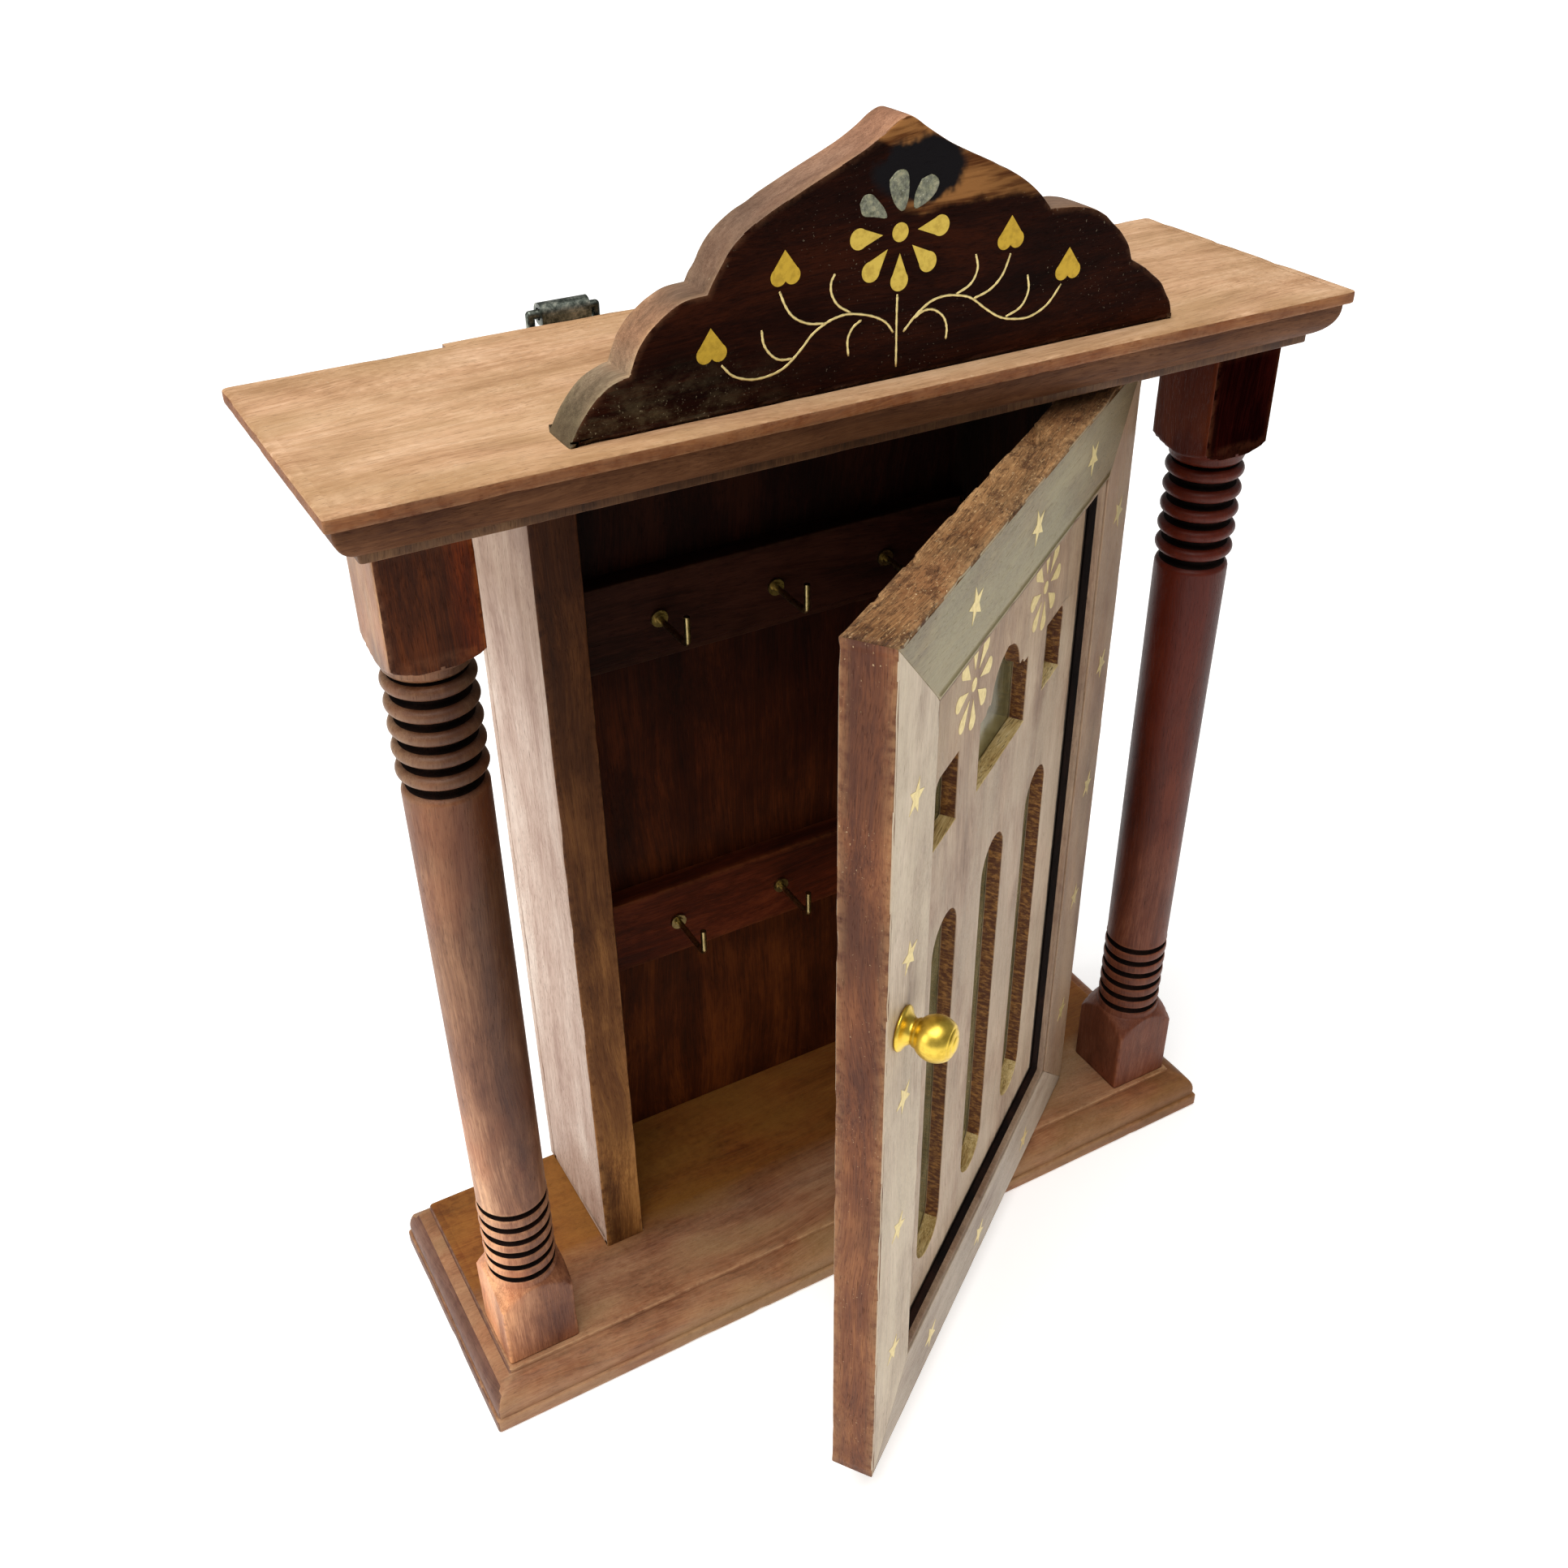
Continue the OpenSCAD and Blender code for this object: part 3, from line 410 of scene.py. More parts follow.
hinge = Vector((HINGE_X * MM, HINGE_Y * MM, 0))
DOOR = (Matrix.Translation(hinge) @ Matrix.Rotation(math.radians(DOOR_REST), 4, "Z")
        @ Matrix.Translation(-hinge) @ Matrix.Translation((DOOR_X0 * MM, DOOR_FRONT * MM, DOOR_Z0 * MM)))


def facing_front(x0, y0, z0):
    """Places a board that faces the front: u to the right, v up, w back."""
    return lambda u, v, w: (x0 + u, y0 + w, z0 + v)


def facing_left(x0, y0, z0):
    """Places a board that faces left: u back, v up, w to the right."""
    return lambda u, v, w: (x0 + w, y0 + u, z0 + v)


def on_door(w0=0.0):
    """Places a board in the door's own space, w0 behind its front."""
    return lambda u, v, w: (u, w + w0, v)


# ---------------------------------------------------------------- materials

def srgb(r, g, b):
    f = lambda c: c / 12.92 if c <= 0.04045 else ((c + 0.055) / 1.055) ** 2.4
    return (f(r / 255), f(g / 255), f(b / 255), 1.0)


class Nodes:
    def __init__(self, name):
        self.material = bpy.data.materials.new(name)
        self.material.use_nodes = True
        self.tree = self.material.node_tree
        self.bsdf = self.tree.nodes["Principled BSDF"]

    def new(self, kind, **props):
        n = self.tree.nodes.new(kind)
        for k, v in props.items():
            setattr(n, k, v)
        return n

    def link(self, a, b):
        self.tree.links.new(a, b)

    def put(self, x, socket):
        """Gives a socket a number or colour, or links it to another node's output."""
        if isinstance(x, (int, float, tuple)):
            socket.default_value = x
        else:
            self.link(x, socket)

    def set(self, name, x):
        self.put(x, self.bsdf.inputs[name])

    def split(self, vec):
        n = self.new("ShaderNodeSeparateXYZ")
        self.link(vec, n.inputs[0])
        return n.outputs

    def multiply_add(self, vec, factor, plus):
        n = self.new("ShaderNodeVectorMath", operation="MULTIPLY_ADD")
        for x, socket in zip((vec, factor, plus), n.inputs):
            self.put(x, socket)
        return n.outputs[0]

    def math(self, op, a, b=None, c=None, clamp=False):
        n = self.new("ShaderNodeMath", operation=op, use_clamp=clamp)
        for x, socket in zip((a, b, c), n.inputs):
            if x is not None:
                self.put(x, socket)
        return n.outputs[0]

    def coords(self, axis, offset=(0, 0, 0)):
        """Object coordinates in mm, with the grain along the first."""
        xyz = self.split(self.new("ShaderNodeTexCoord").outputs["Object"])
        com = self.new("ShaderNodeCombineXYZ")
        for i, k in enumerate({"x": (0, 1, 2), "y": (1, 0, 2), "z": (2, 0, 1)}[axis]):
            self.link(xyz[k], com.inputs[i])
        return self.multiply_add(com.outputs[0], (1000, 1000, 1000), offset)

    def scaled(self, vec, factor):
        n = self.new("ShaderNodeVectorMath", operation="MULTIPLY")
        self.link(vec, n.inputs[0])
        self.put(factor, n.inputs[1])
        return n.outputs[0]

    def noise(self, vec, s, detail=3.0, rough=0.55, out=0):
        n = self.new("ShaderNodeTexNoise")
        self.link(self.scaled(vec, s), n.inputs["Vector"])
        n.inputs["Scale"].default_value = 1.0
        n.inputs["Detail"].default_value = detail
        n.inputs["Roughness"].default_value = rough
        return n.outputs[out]

    def ramp(self, fac, stops):
        n = self.new("ShaderNodeValToRGB")
        els = n.color_ramp.elements
        while len(els) < len(stops):
            els.new(0.5)
        for e, (p, c) in zip(els, stops):
            e.position = p
            e.color = c
        self.link(fac, n.inputs[0])
        return n.outputs[0]

    def step(self, fac, lo, hi):
        n = self.new("ShaderNodeMapRange")
        n.interpolation_type = "SMOOTHSTEP"
        self.link(fac, n.inputs[0])
        n.inputs[1].default_value = lo
        n.inputs[2].default_value = hi
        return n.outputs[0]

    def mix(self, fac, a, b):
        n = self.new("ShaderNodeMix", data_type="RGBA")
        for i, x in ((0, fac), (6, a), (7, b)):
            self.put(x, n.inputs[i])
        return n.outputs[2]

    def attr(self, name):
        return self.new("ShaderNodeAttribute", attribute_name=name).outputs["Fac"]

    def bump(self, height, strength, distance):
        n = self.new("ShaderNodeBump")
        n.inputs["Strength"].default_value = strength
        n.inputs["Distance"].default_value = distance * MM
        self.link(height, n.inputs["Height"])
        self.set("Normal", n.outputs[0])


SAND = (196, 179, 156)


def wood(name, axis, tones, offset=(0, 0, 0), rough=(0.42, 0.62), pores=0.5, contrast=1.0, figure=1.0,
         edge=None, cut=None, blotch=None, dust_and_sheen=None, specks=None, spec=0.25, bump=1.0, extra=None):
    """Open-grained wood. The grain runs along axis; tones are its dark, middle and light sRGB colours.
    edge, blotch, haze and specks: (colour, amount). extra may lay marks of its own over the colour."""
    dark, mid, light = (srgb(*tone) for tone in tones)
    s = Nodes(name)
    p = s.coords(axis, offset)
    # the grain wanders a little from straight
    warp = s.noise(p, (0.007, 0.02, 0.02), 2.0, 0.5, out=1)
    q = s.multiply_add(warp, (0, 26, 26), p)
    bands = s.noise(q, (0.009, 0.085, 0.085), 4.0, 0.55)
    mottle = s.noise(p, (0.035, 0.06, 0.06), 5.0, 0.62)
    streak = s.noise(q, (0.03, 0.75, 0.75), 3.0, 0.6)
    fine = s.noise(q, (0.11, 3.6, 3.6), 2.0, 0.6)
    f = s.math("MULTIPLY", bands, 0.42 * figure)
    f = s.math("MULTIPLY_ADD", mottle, 0.40, f)
    f = s.math("MULTIPLY_ADD", streak, 0.26, f)
    f = s.math("MULTIPLY_ADD", fine, 0.26, f)
    mid_at, span = 0.46 + 0.21 * figure, 0.13 / contrast
    col = s.ramp(f, [(max(0, mid_at - span), dark), (mid_at, mid), (min(1, mid_at + span), light)])
    if blotch:
        b = s.noise(p, (0.016, 0.03, 0.03), 3.0, 0.6)
        col = s.mix(s.math("MULTIPLY", s.step(b, 0.46, 0.66), blotch[1]), col, srgb(*blotch[0]))
    pore = s.noise(q, (0.30, 4.6, 4.6), 1.0, 0.5)
    pore = s.step(pore, 0.61, 0.72)
    col = s.mix(s.math("MULTIPLY", pore, pores), col, tuple(0.55 * c for c in dark[:3]) + (1,))
    # A pale film: dust on the case boards, painted sheen on the door and its panel
    if dust_and_sheen:
        h = s.noise(p, (0.03, 0.06, 0.06), 5.0, 0.65)
        sand = s.noise(p, (1.1, 2.2, 2.2), 2.0, 0.7)
        amount = s.math("MULTIPLY", s.step(h, 0.3, 0.62), dust_and_sheen[1])
        sand = s.math("MULTIPLY_ADD", s.step(sand, 0.3, 0.7), 0.6, 0.6)
        col = s.mix(s.math("MULTIPLY", amount, sand, clamp=True), col, srgb(*dust_and_sheen[0]))
    rub = s.noise(p, (0.35, 0.35, 0.35), 3.0, 0.65)
    if edge:
        e = s.math("MULTIPLY", s.attr("edge"), s.step(rub, 0.30, 0.62))
        col = s.mix(s.math("MULTIPLY", e, edge[1], clamp=True), col, srgb(*edge[0]))
    if cut:
        grit = s.noise(p, (1.3, 0.5, 0.5), 4.0, 0.75)
        sandy = s.mix(s.step(grit, 0.42, 0.7), srgb(84, 46, 26), srgb(*cut))
        col = s.mix(s.attr("cut"), col, sandy)
    if specks:
        v = s.noise(p, (1.3, 1.3, 1.3), 2.0, 0.75)
        area = s.noise(p, (0.05, 0.05, 0.05), 2.0, 0.5)
        m = s.math("MULTIPLY", s.step(v, 0.66, 0.72), s.step(area, 0.42, 0.6))
        col = s.mix(s.math("MULTIPLY", m, specks[1]), col, srgb(*specks[0]))
    if extra:
        col = extra(s, p, col, streak)
    s.set("Base Color", col)
    r = s.math("MULTIPLY_ADD", streak, rough[1] - rough[0], rough[0])
    r = s.math("MULTIPLY_ADD", pore, 0.2, r, clamp=True)
    s.set("Roughness", r)
    s.set("Specular IOR Level", spec)
    h = s.math("MULTIPLY_ADD", fine, 0.5, s.math("MULTIPLY", pore, -0.9))
    h = s.math("MULTIPLY_ADD", streak, 0.5, h)
    h = s.math("MULTIPLY_ADD", rub, 0.45, h)
    s.bump(h, 0.5 * bump, 0.16)
    return s.material


def place_of(s):
    """The piece's own x, y and z in mm."""
    xyz = s.split(s.new("ShaderNodeTexCoord").outputs["Object"])
    return [s.math("MULTIPLY", out, 1000.0) for out in xyz]


def tinted(*lanes):
    """A wood's extra that multiplies its colour along x, y or z: (axis number, [(mm, (r, g, b)), ...])."""
    top = 3.0

    def lay(s, p, col, streak):
        at = place_of(s)
        wob = s.math("ADD", s.noise(p, (0.02, 0.09, 0.09), 3.0, 0.6), -0.5)
        for axis, stops in lanes:
            lo, hi = stops[0][0], stops[-1][0]
            along = s.math("MULTIPLY", s.math("ADD", at[axis], -lo), 1 / (hi - lo))
            along = s.math("MULTIPLY_ADD", wob, 0.16, along)
            marks = [((z - lo) / (hi - lo), tuple(c / top for c in rgb) + (1,)) for z, rgb in stops]
            tint = s.ramp(s.math("MULTIPLY", along, 1.0, clamp=True), marks)
            col = s.scaled(s.scaled(col, tint), (top, top, top))
        return col

    return lay


def both(first, second):
    """Two extras, one after the other."""
    return lambda s, p, col, streak: second(s, p, first(s, p, col, streak), streak)


def pitted(s, p, col, streak):
    """Rough end wood: dark pits and pale torn fibres."""
    coarse = s.noise(p, (0.16, 0.3, 0.3), 6.0, 0.8)
    col = s.mix(s.math("MULTIPLY", s.step(coarse, 0.5, 0.6), 0.65), col, srgb(54, 26, 12))
    torn = s.noise(p, (0.5, 1.4, 1.4), 4.0, 0.8)
    return s.mix(s.math("MULTIPLY", s.step(torn, 0.56, 0.68), 0.6), col, srgb(196, 160, 112))


def moulding_gap_shade(s, p, col, streak):
    """Painted shade in the gap along the moulding, with some soiling; black and widest by the hinges."""
    x, _, z = place_of(s)
    reach = FRAME_W + 3
    wob = s.math("MULTIPLY", s.noise(p, (0.25, 0.25, 0.25), 3.0, 0.7), 1.4)
    dark_gap = None
    sides = ((x, DOOR_W - reach, -1, 0.7), (x, reach, 1, 0.2), (z, DOOR_H - reach, -1, 0.2),
             (z, reach, 1, 0.5))
    for value, line, way, wide in sides:
        off = s.math("MULTIPLY", s.math("ADD", value, -line), way)
        near = s.math("SUBTRACT", 1.0, s.step(s.math("SUBTRACT", off, wob), wide - 0.5, wide + 0.3))
        dark_gap = near if dark_gap is None else s.math("MAXIMUM", dark_gap, near)
    return s.mix(s.math("MULTIPLY", dark_gap, 0.9), col, srgb(22, 12, 8))


def crest_marks(s, p, col, streak):
    """Scorch above the flower, rubbed wood beside it and under the tip, and dust low on the left."""
    x, _, z = s.split(p)
    z = s.math("SUBTRACT", z, CORNICE_TOP)
    wob = s.noise(p, (0.16, 0.16, 0.16), 3.0, 0.6)
    wx = s.math("MULTIPLY_ADD", wob, 9.0, s.math("ADD", x, -4.5))
    wz = s.math("MULTIPLY_ADD", wob, -5.0, s.math("ADD", z, 2.5))
    right_of = s.step(wx, -1.0, 4.0)
    above = s.step(wz, 33.2, 35.4)
    beside_tip = s.math("ABSOLUTE", s.math("ADD", x, -1.0))
    under_tip = s.step(s.math("ADD", s.math("MULTIPLY", beside_tip, -0.45), z), 45.2, 46.6)
    rubbed = s.math("MAXIMUM", s.math("MULTIPLY", right_of, above), under_tip)
    fade = s.step(s.math("MULTIPLY", x, -1.0), -36.0, -16.0)
    rubbed = s.math("MULTIPLY", rubbed, s.math("MULTIPLY_ADD", fade, 0.5, 0.5))
    grain = s.mix(s.step(streak, 0.36, 0.62), srgb(83, 45, 20), srgb(152, 104, 59))
    col = s.mix(s.math("MULTIPLY", rubbed, 0.85), col, grain)
    ex = s.math("MULTIPLY", s.math("ADD", wx, -4.5), 1 / 11.0)
    ez = s.math("MULTIPLY", s.math("ADD", wz, -42.4), 1 / 6.4)
    near = s.math("ADD", s.math("MULTIPLY", ex, ex), s.math("MULTIPLY", ez, ez))
    scorch = s.math("SUBTRACT", 1.0, s.step(near, 0.72, 1.25))
    col = s.mix(scorch, col, srgb(20, 18, 20))
    # dust caught low on the left
    grit = s.noise(p, (1.5, 1.5, 1.5), 2.0, 0.8)
    film = s.noise(p, (0.12, 0.12, 0.2), 5.0, 0.75)
    low = s.math("SUBTRACT", 1.0, s.step(z, 2.0, 16.0))
    low = s.math("MULTIPLY", low, s.math("SUBTRACT", 1.0, s.step(x, -62.0, -18.0)))
    film = s.math("MULTIPLY", s.step(film, 0.42, 0.7), low)
    col = s.mix(s.math("MULTIPLY", film, 0.5), col, srgb(96, 84, 60))
    dust = s.math("MULTIPLY", s.step(grit, 0.64, 0.76), low)
    col = s.mix(s.math("MULTIPLY", dust, 0.6), col, srgb(172, 160, 128))
    seam = s.math("SUBTRACT", 1.0, s.step(s.math("MULTIPLY_ADD", grit, 1.2, z), 0.7, 1.5))
    return s.mix(seam, col, srgb(14, 6, 4))


def brass(name, base, tarnish, rough=(0.22, 0.45), amount=0.5, scale=0.5, metallic=1.0, bump=0.2, lathe=0.0):
    """Dull sheet or wire; lathe adds rings round the piece's own z."""
    s = Nodes(name)
    p = s.coords("x")
    n = s.noise(p, (scale, scale, scale), 4.0, 0.65)
    col = s.mix(s.math("MULTIPLY", s.step(n, 0.4, 0.68), amount), base, tarnish)
    e = s.noise(p, (3 * scale,) * 3, 2.0, 0.6)
    if lathe:
        e = s.math("MULTIPLY_ADD", s.noise(p, (0.1, 0.1, 5.0), 2.0, 0.6), lathe,
                   s.math("MULTIPLY", e, 1 - lathe))
    s.set("Base Color", col)
    s.set("Metallic", metallic)
    s.set("Roughness", s.math("MULTIPLY_ADD", e, rough[1] - rough[0], rough[0]))
    s.bump(e, bump, 0.05)
    return s.material


def steel(name):
    """Blackened steel, rubbed bright in places."""
    s = Nodes(name)
    p = s.coords("x")
    n = s.noise(p, (0.6, 0.6, 0.6), 4.0, 0.7)
    col = s.ramp(n, [(0.38, srgb(62, 68, 62)), (0.52, srgb(104, 110, 102)), (0.66, srgb(150, 152, 140))])
    s.set("Base Color", col)
    s.set("Metallic", 0.85)
    s.set("Roughness", s.math("MULTIPLY_ADD", n, 0.4, 0.2))
    s.bump(n, 0.35, 0.08)
    return s.material


def pane(name):
    """Window glass, olive from dust and from a painted reflection of green surroundings."""
    s = Nodes(name)
    p = s.coords("x")
    n = s.noise(p, (0.12, 0.12, 0.05), 4.0, 0.65)
    col = s.ramp(n, [(0.35, srgb(116, 112, 72)), (0.65, srgb(182, 170, 122))])
    s.set("Base Color", col)
    s.set("Transmission Weight", 0.55)
    s.set("IOR", 1.5)
    s.set("Roughness", s.math("MULTIPLY_ADD", n, 0.35, 0.05))
    return s.material


def filling(name):
    """The glittering grey filling of the damaged petals."""
    s = Nodes(name)
    p = s.coords("x")
    n = s.noise(p, (0.9, 0.9, 0.9), 4.0, 0.7)
    g = s.noise(p, (2.4, 2.4, 2.4), 2.0, 0.8)
    col = s.ramp(n, [(0.34, srgb(70, 70, 56)), (0.5, srgb(112, 114, 92)), (0.66, srgb(150, 146, 116))])
    col = s.mix(s.step(g, 0.66, 0.76), col, srgb(222, 222, 206))
    s.set("Base Color", col)
    s.set("Roughness", s.math("MULTIPLY_ADD", g, 0.6, 0.05))
    s.bump(g, 0.6, 0.2)
    return s.material


EVEN = (1.0, 1.0, 1.0)
TURNED = {"rough": (0.34, 0.52), "pores": 0.35}
BOARD = {"rough": (0.42, 0.65), "pores": 0.35}
CASE_WOOD = (((50, 28, 14), (84, 54, 32), (118, 84, 54)), (31, 12, 77))
MATERIALS = {
    "cornice": wood("cornice_wood", "x", ((156, 114, 80), (196, 154, 118), (222, 184, 150)), (13, 5, 40),
        rough=(0.5, 0.75), pores=0.6, edge=((150, 110, 72), 0.6), blotch=((164, 124, 80), 0.45),
        dust_and_sheen=((176, 146, 106), 0.35), specks=(SAND, 0.4)),
    "cornice_lip": wood("cornice_lip_wood", "x", ((90, 46, 20), (120, 68, 32), (152, 98, 54)),
        (13, 5, 40), rough=(0.5, 0.75), pores=0.5, edge=((176, 136, 98), 0.4),
        blotch=((104, 62, 34), 0.4)),
    "cornice_cove": wood("cornice_cove_wood", "x", ((64, 34, 19), (88, 54, 32), (112, 74, 48)),
        (13, 5, 40), rough=(0.5, 0.75), spec=0.12, pores=0.5, edge=((130, 92, 62), 0.3)),
    "base": wood("base_wood", "x", ((96, 56, 34), (140, 90, 60), (172, 124, 88)), (70, 21, 9), **BOARD,
        figure=0.7, edge=((200, 160, 120), 0.4), blotch=((120, 92, 48), 0.7), dust_and_sheen=((164, 132, 100), 0.4),
        extra=tinted((X, [(-126, EVEN), (60, (1.1, 1.05, 0.95)), (126, (0.8, 0.62, 0.45))]))),
    # Its y lane paints light on the front edge and shade inside the case
    "base_top": wood("base_top_wood", "x", ((102, 60, 40), (146, 96, 68), (178, 132, 98)), (70, 21, 9),
        **BOARD, figure=0.7, edge=((206, 166, 128), 0.4), blotch=((128, 96, 54), 0.7),
        dust_and_sheen=((172, 140, 108), 0.4),
        extra=tinted((Y, [(-32, (1.2, 1.2, 1.1)), (-12, EVEN), (0, (0.76, 0.52, 0.18)),
                          (39, (0.76, 0.52, 0.18))]),
                     (X, [(-120, (0.85, 0.85, 0.85)), (-96, EVEN), (119, EVEN)]))),
    "base_end": wood("base_end_wood", "y", ((72, 42, 32), (98, 64, 52), (122, 88, 74)), (70, 21, 9),
        **BOARD, edge=((170, 132, 100), 0.4)),
    # Darker towards the top: painted shade under the cornice
    "case_left": wood("faded_wood", "z", ((164, 131, 114), (198, 171, 154), (223, 204, 189)), (3, 60, 20),
        rough=(0.45, 0.7), pores=0.7, edge=((150, 110, 80), 0.4),
        extra=tinted((Z, [(14, EVEN), (190, EVEN), (228, (0.66, 0.58, 0.5)), (265, (0.58, 0.48, 0.4))]))),
    "case": wood("case_wood", "z", *CASE_WOOD, rough=(0.45, 0.7), pores=0.4, edge=((128, 92, 64), 0.5),
        blotch=((60, 34, 18), 0.5)),
    # The left side's front edge: painted light low down, painted shade under the cornice
    "side_edge": wood("side_edge_wood", "z", *CASE_WOOD,
        rough=(0.45, 0.7), pores=0.4, edge=((128, 92, 64), 0.5), spec=0.15, blotch=((60, 34, 18), 0.5),
        extra=tinted((Z, [(14, (3.0, 3.0, 2.0)), (80, (2.2, 2.0, 1.4)), (150, (1.1, 0.9, 0.65)),
                          (264, (0.42, 0.22, 0.12))]))),
    # Painted shade inside the case: dark at the top, lighter low down
    "back": wood("back_wood", "z", ((28, 10, 6), (46, 20, 12), (70, 36, 22)), (9, 4, 50),
        rough=(0.5, 0.75), pores=0.4, spec=0.12,
        extra=tinted((Z, [(14, (3.0, 2.6, 1.1)), (85, (2.6, 2.2, 0.9)), (150, (1.7, 1.2, 0.6)),
                          (215, (0.6, 0.5, 0.5)), (275, (0.4, 0.35, 0.35))]))),
    # Painted shade: the upper rail darker, the lower rail lighter
    "rail": wood("rail_wood", "x", ((34, 14, 9), (56, 25, 16), (80, 42, 30)), (90, 33, 8),
        rough=(0.45, 0.7), pores=0.4, spec=0.12, edge=((90, 60, 40), 0.4),
        extra=tinted((Z, [(85, (2.2, 1.5, 0.8)), (111, (2.2, 1.5, 0.8)), (187, (0.65, 0.62, 0.6)),
                          (212, (0.65, 0.62, 0.6))]))),
    # Both columns: painted shade of the cornice, darker towards the top and lighter low down. The left
    # column's x lane makes its left side lighter.
    "column_left": wood("left_column_wood", "z", ((72, 40, 28), (104, 68, 50), (138, 100, 78)),
        (55, 71, 15), **TURNED, edge=((158, 116, 88), 0.45), blotch=((126, 62, 30), 0.4), spec=0.25,
        extra=tinted((Z, [(14, (1.4, 1.18, 0.95)), (42, (1.5, 1.35, 1.15)), (75, (1.35, 1.35, 1.25)),
                          (110, (0.9, 0.82, 0.72)), (150, (0.62, 0.54, 0.44)), (200, (0.55, 0.48, 0.38)),
                          (206, (0.4, 0.4, 0.36)), (236, (0.4, 0.4, 0.36)), (242, (0.8, 0.85, 0.72)),
                          (265, (0.8, 0.85, 0.72))]),
                     (X, [(-118, (2.6, 3.0, 3.0)), (-113, (1.7, 1.9, 2.0)), (-106, EVEN), (-96, EVEN)]))),
    "column_right": wood("right_column_wood", "z", ((78, 42, 30), (106, 66, 50), (136, 96, 78)),
        (15, 31, 75), **TURNED, edge=((150, 100, 70), 0.4), blotch=((126, 62, 30), 0.4), spec=0.2,
        extra=tinted((Z, [(14, (0.98, 0.8, 0.68)), (75, (0.9, 0.68, 0.56)), (120, (0.5, 0.2, 0.11)),
                          (205, (0.42, 0.13, 0.07)), (236, (0.4, 0.15, 0.09)), (242, (0.62, 0.32, 0.16)),
                          (265, (0.62, 0.32, 0.16))]))),
    # The capitals' fronts: painted shade under the cornice, near black on the right
    "capital_left": wood("left_capital_wood", "z", ((34, 12, 4), (60, 26, 8), (92, 44, 16)), (5, 11, 25),
        **TURNED, edge=((150, 100, 70), 0.4), spec=0.08,
        extra=tinted((X, [(-118, EVEN), (-104, EVEN), (-100, (1.9, 1.3, 0.7)), (-96, (1.9, 1.3, 0.7))]))),
    "capital_right": wood("right_capital_wood", "z", ((8, 1, 1), (18, 2, 2), (40, 8, 5)), (35, 1, 5),
        **TURNED, edge=((120, 70, 46), 0.4), spec=0.0),
    # Lit and shaded copies of the door wood: the free stile painted light, the hinge stile painted shade
    "door_free": wood("free_stile_wood", "z", ((146, 122, 100), (186, 164, 140), (218, 198, 174)),
        (22, 9, 63), rough=(0.36, 0.55), pores=0.4, edge=((204, 178, 148), 0.4),
        dust_and_sheen=((208, 192, 164), 0.65), spec=0.3),
    "door_hinge": wood("hinge_stile_wood", "z", ((96, 64, 44), (130, 97, 72), (160, 126, 97)),
        (62, 29, 3), rough=(0.36, 0.55), pores=0.4, edge=((178, 142, 108), 0.4),
        dust_and_sheen=((168, 144, 116), 0.5), spec=0.4),
    # Darker towards the hinge side: painted shade
    "door_across": wood("door_wood_across", "x", ((101, 84, 60), (130, 114, 84), (160, 142, 106)),
        (48, 19, 27), rough=(0.36, 0.55), pores=0.35, edge=((180, 152, 110), 0.5),
        dust_and_sheen=((156, 148, 114), 0.6), spec=0.3,
        extra=tinted((X, [(0, EVEN), (104, EVEN), (132, (0.7, 0.62, 0.56)), (161, (0.5, 0.4, 0.34))]))),
    "door_end": wood("door_wood_edge", "z", ((76, 38, 20), (109, 62, 35), (142, 92, 56)), (44, 3, 31),
        rough=(0.5, 0.75), pores=0.5, edge=((176, 134, 92), 0.5), blotch=((72, 38, 20), 0.5),
        specks=((196, 170, 130), 0.6)),
    "door_top": wood("door_wood_top", "x", ((56, 30, 14), (108, 70, 38), (154, 112, 70)), (14, 33, 51),
        rough=(0.6, 0.85), pores=0.5, figure=0.6, contrast=1.5, edge=((180, 142, 98), 0.6),
        blotch=((112, 52, 20), 0.6), dust_and_sheen=((156, 122, 82), 0.4), specks=((230, 202, 158), 0.95), bump=2.6,
        extra=pitted),
    "panel": wood("panel_wood", "z", ((128, 99, 77), (168, 139, 115), (200, 175, 150)), (61, 39, 5),
        rough=(0.38, 0.56), pores=0.35, edge=((176, 148, 118), 0.3), cut=(168, 118, 62),
        dust_and_sheen=((192, 176, 152), 0.5), spec=0.35,
        extra=both(tinted((Z, [(19, (1.0, 0.98, 0.94)), (150, EVEN), (186, (0.96, 0.95, 0.9)),
                               (206, (0.84, 0.77, 0.66)), (229, (0.8, 0.72, 0.6))])), moulding_gap_shade)),
    "door_foot": wood("bottom_rail_wood", "x", ((110, 86, 68), (148, 126, 106), (184, 164, 144)),
        (8, 39, 17), rough=(0.36, 0.55), pores=0.4, edge=((190, 164, 136), 0.5),
        dust_and_sheen=((186, 172, 152), 0.5), spec=0.3),
    "moulding": wood("moulding_wood", "z", ((92, 62, 44), (128, 98, 76), (160, 130, 104)), (17, 8, 29),
        rough=(0.38, 0.6), edge=((170, 142, 112), 0.4), dust_and_sheen=((160, 144, 120), 0.3)),
    "crest": wood("crest_wood", "x", ((14, 3, 1), (29, 8, 3), (48, 18, 6)), (0, 0, 0), rough=(0.45, 0.65),
        pores=0.3, edge=((104, 70, 48), 0.4), specks=((180, 166, 140), 0.3), spec=0.03,
        extra=crest_marks),
    "crest_edge": wood("crest_edge_wood", "x", ((100, 78, 62), (134, 108, 90), (164, 138, 118)),
        (31, 4, 9), rough=(0.45, 0.7), pores=0.3, edge=((186, 156, 124), 0.4),
        blotch=((148, 102, 76), 0.5), specks=((210, 196, 170), 0.3),
        extra=tinted((X, [(-76, (0.45, 0.52, 0.42)), (-66, (0.9, 1.0, 0.9)), (-56, (1.25, 1.05, 0.85)),
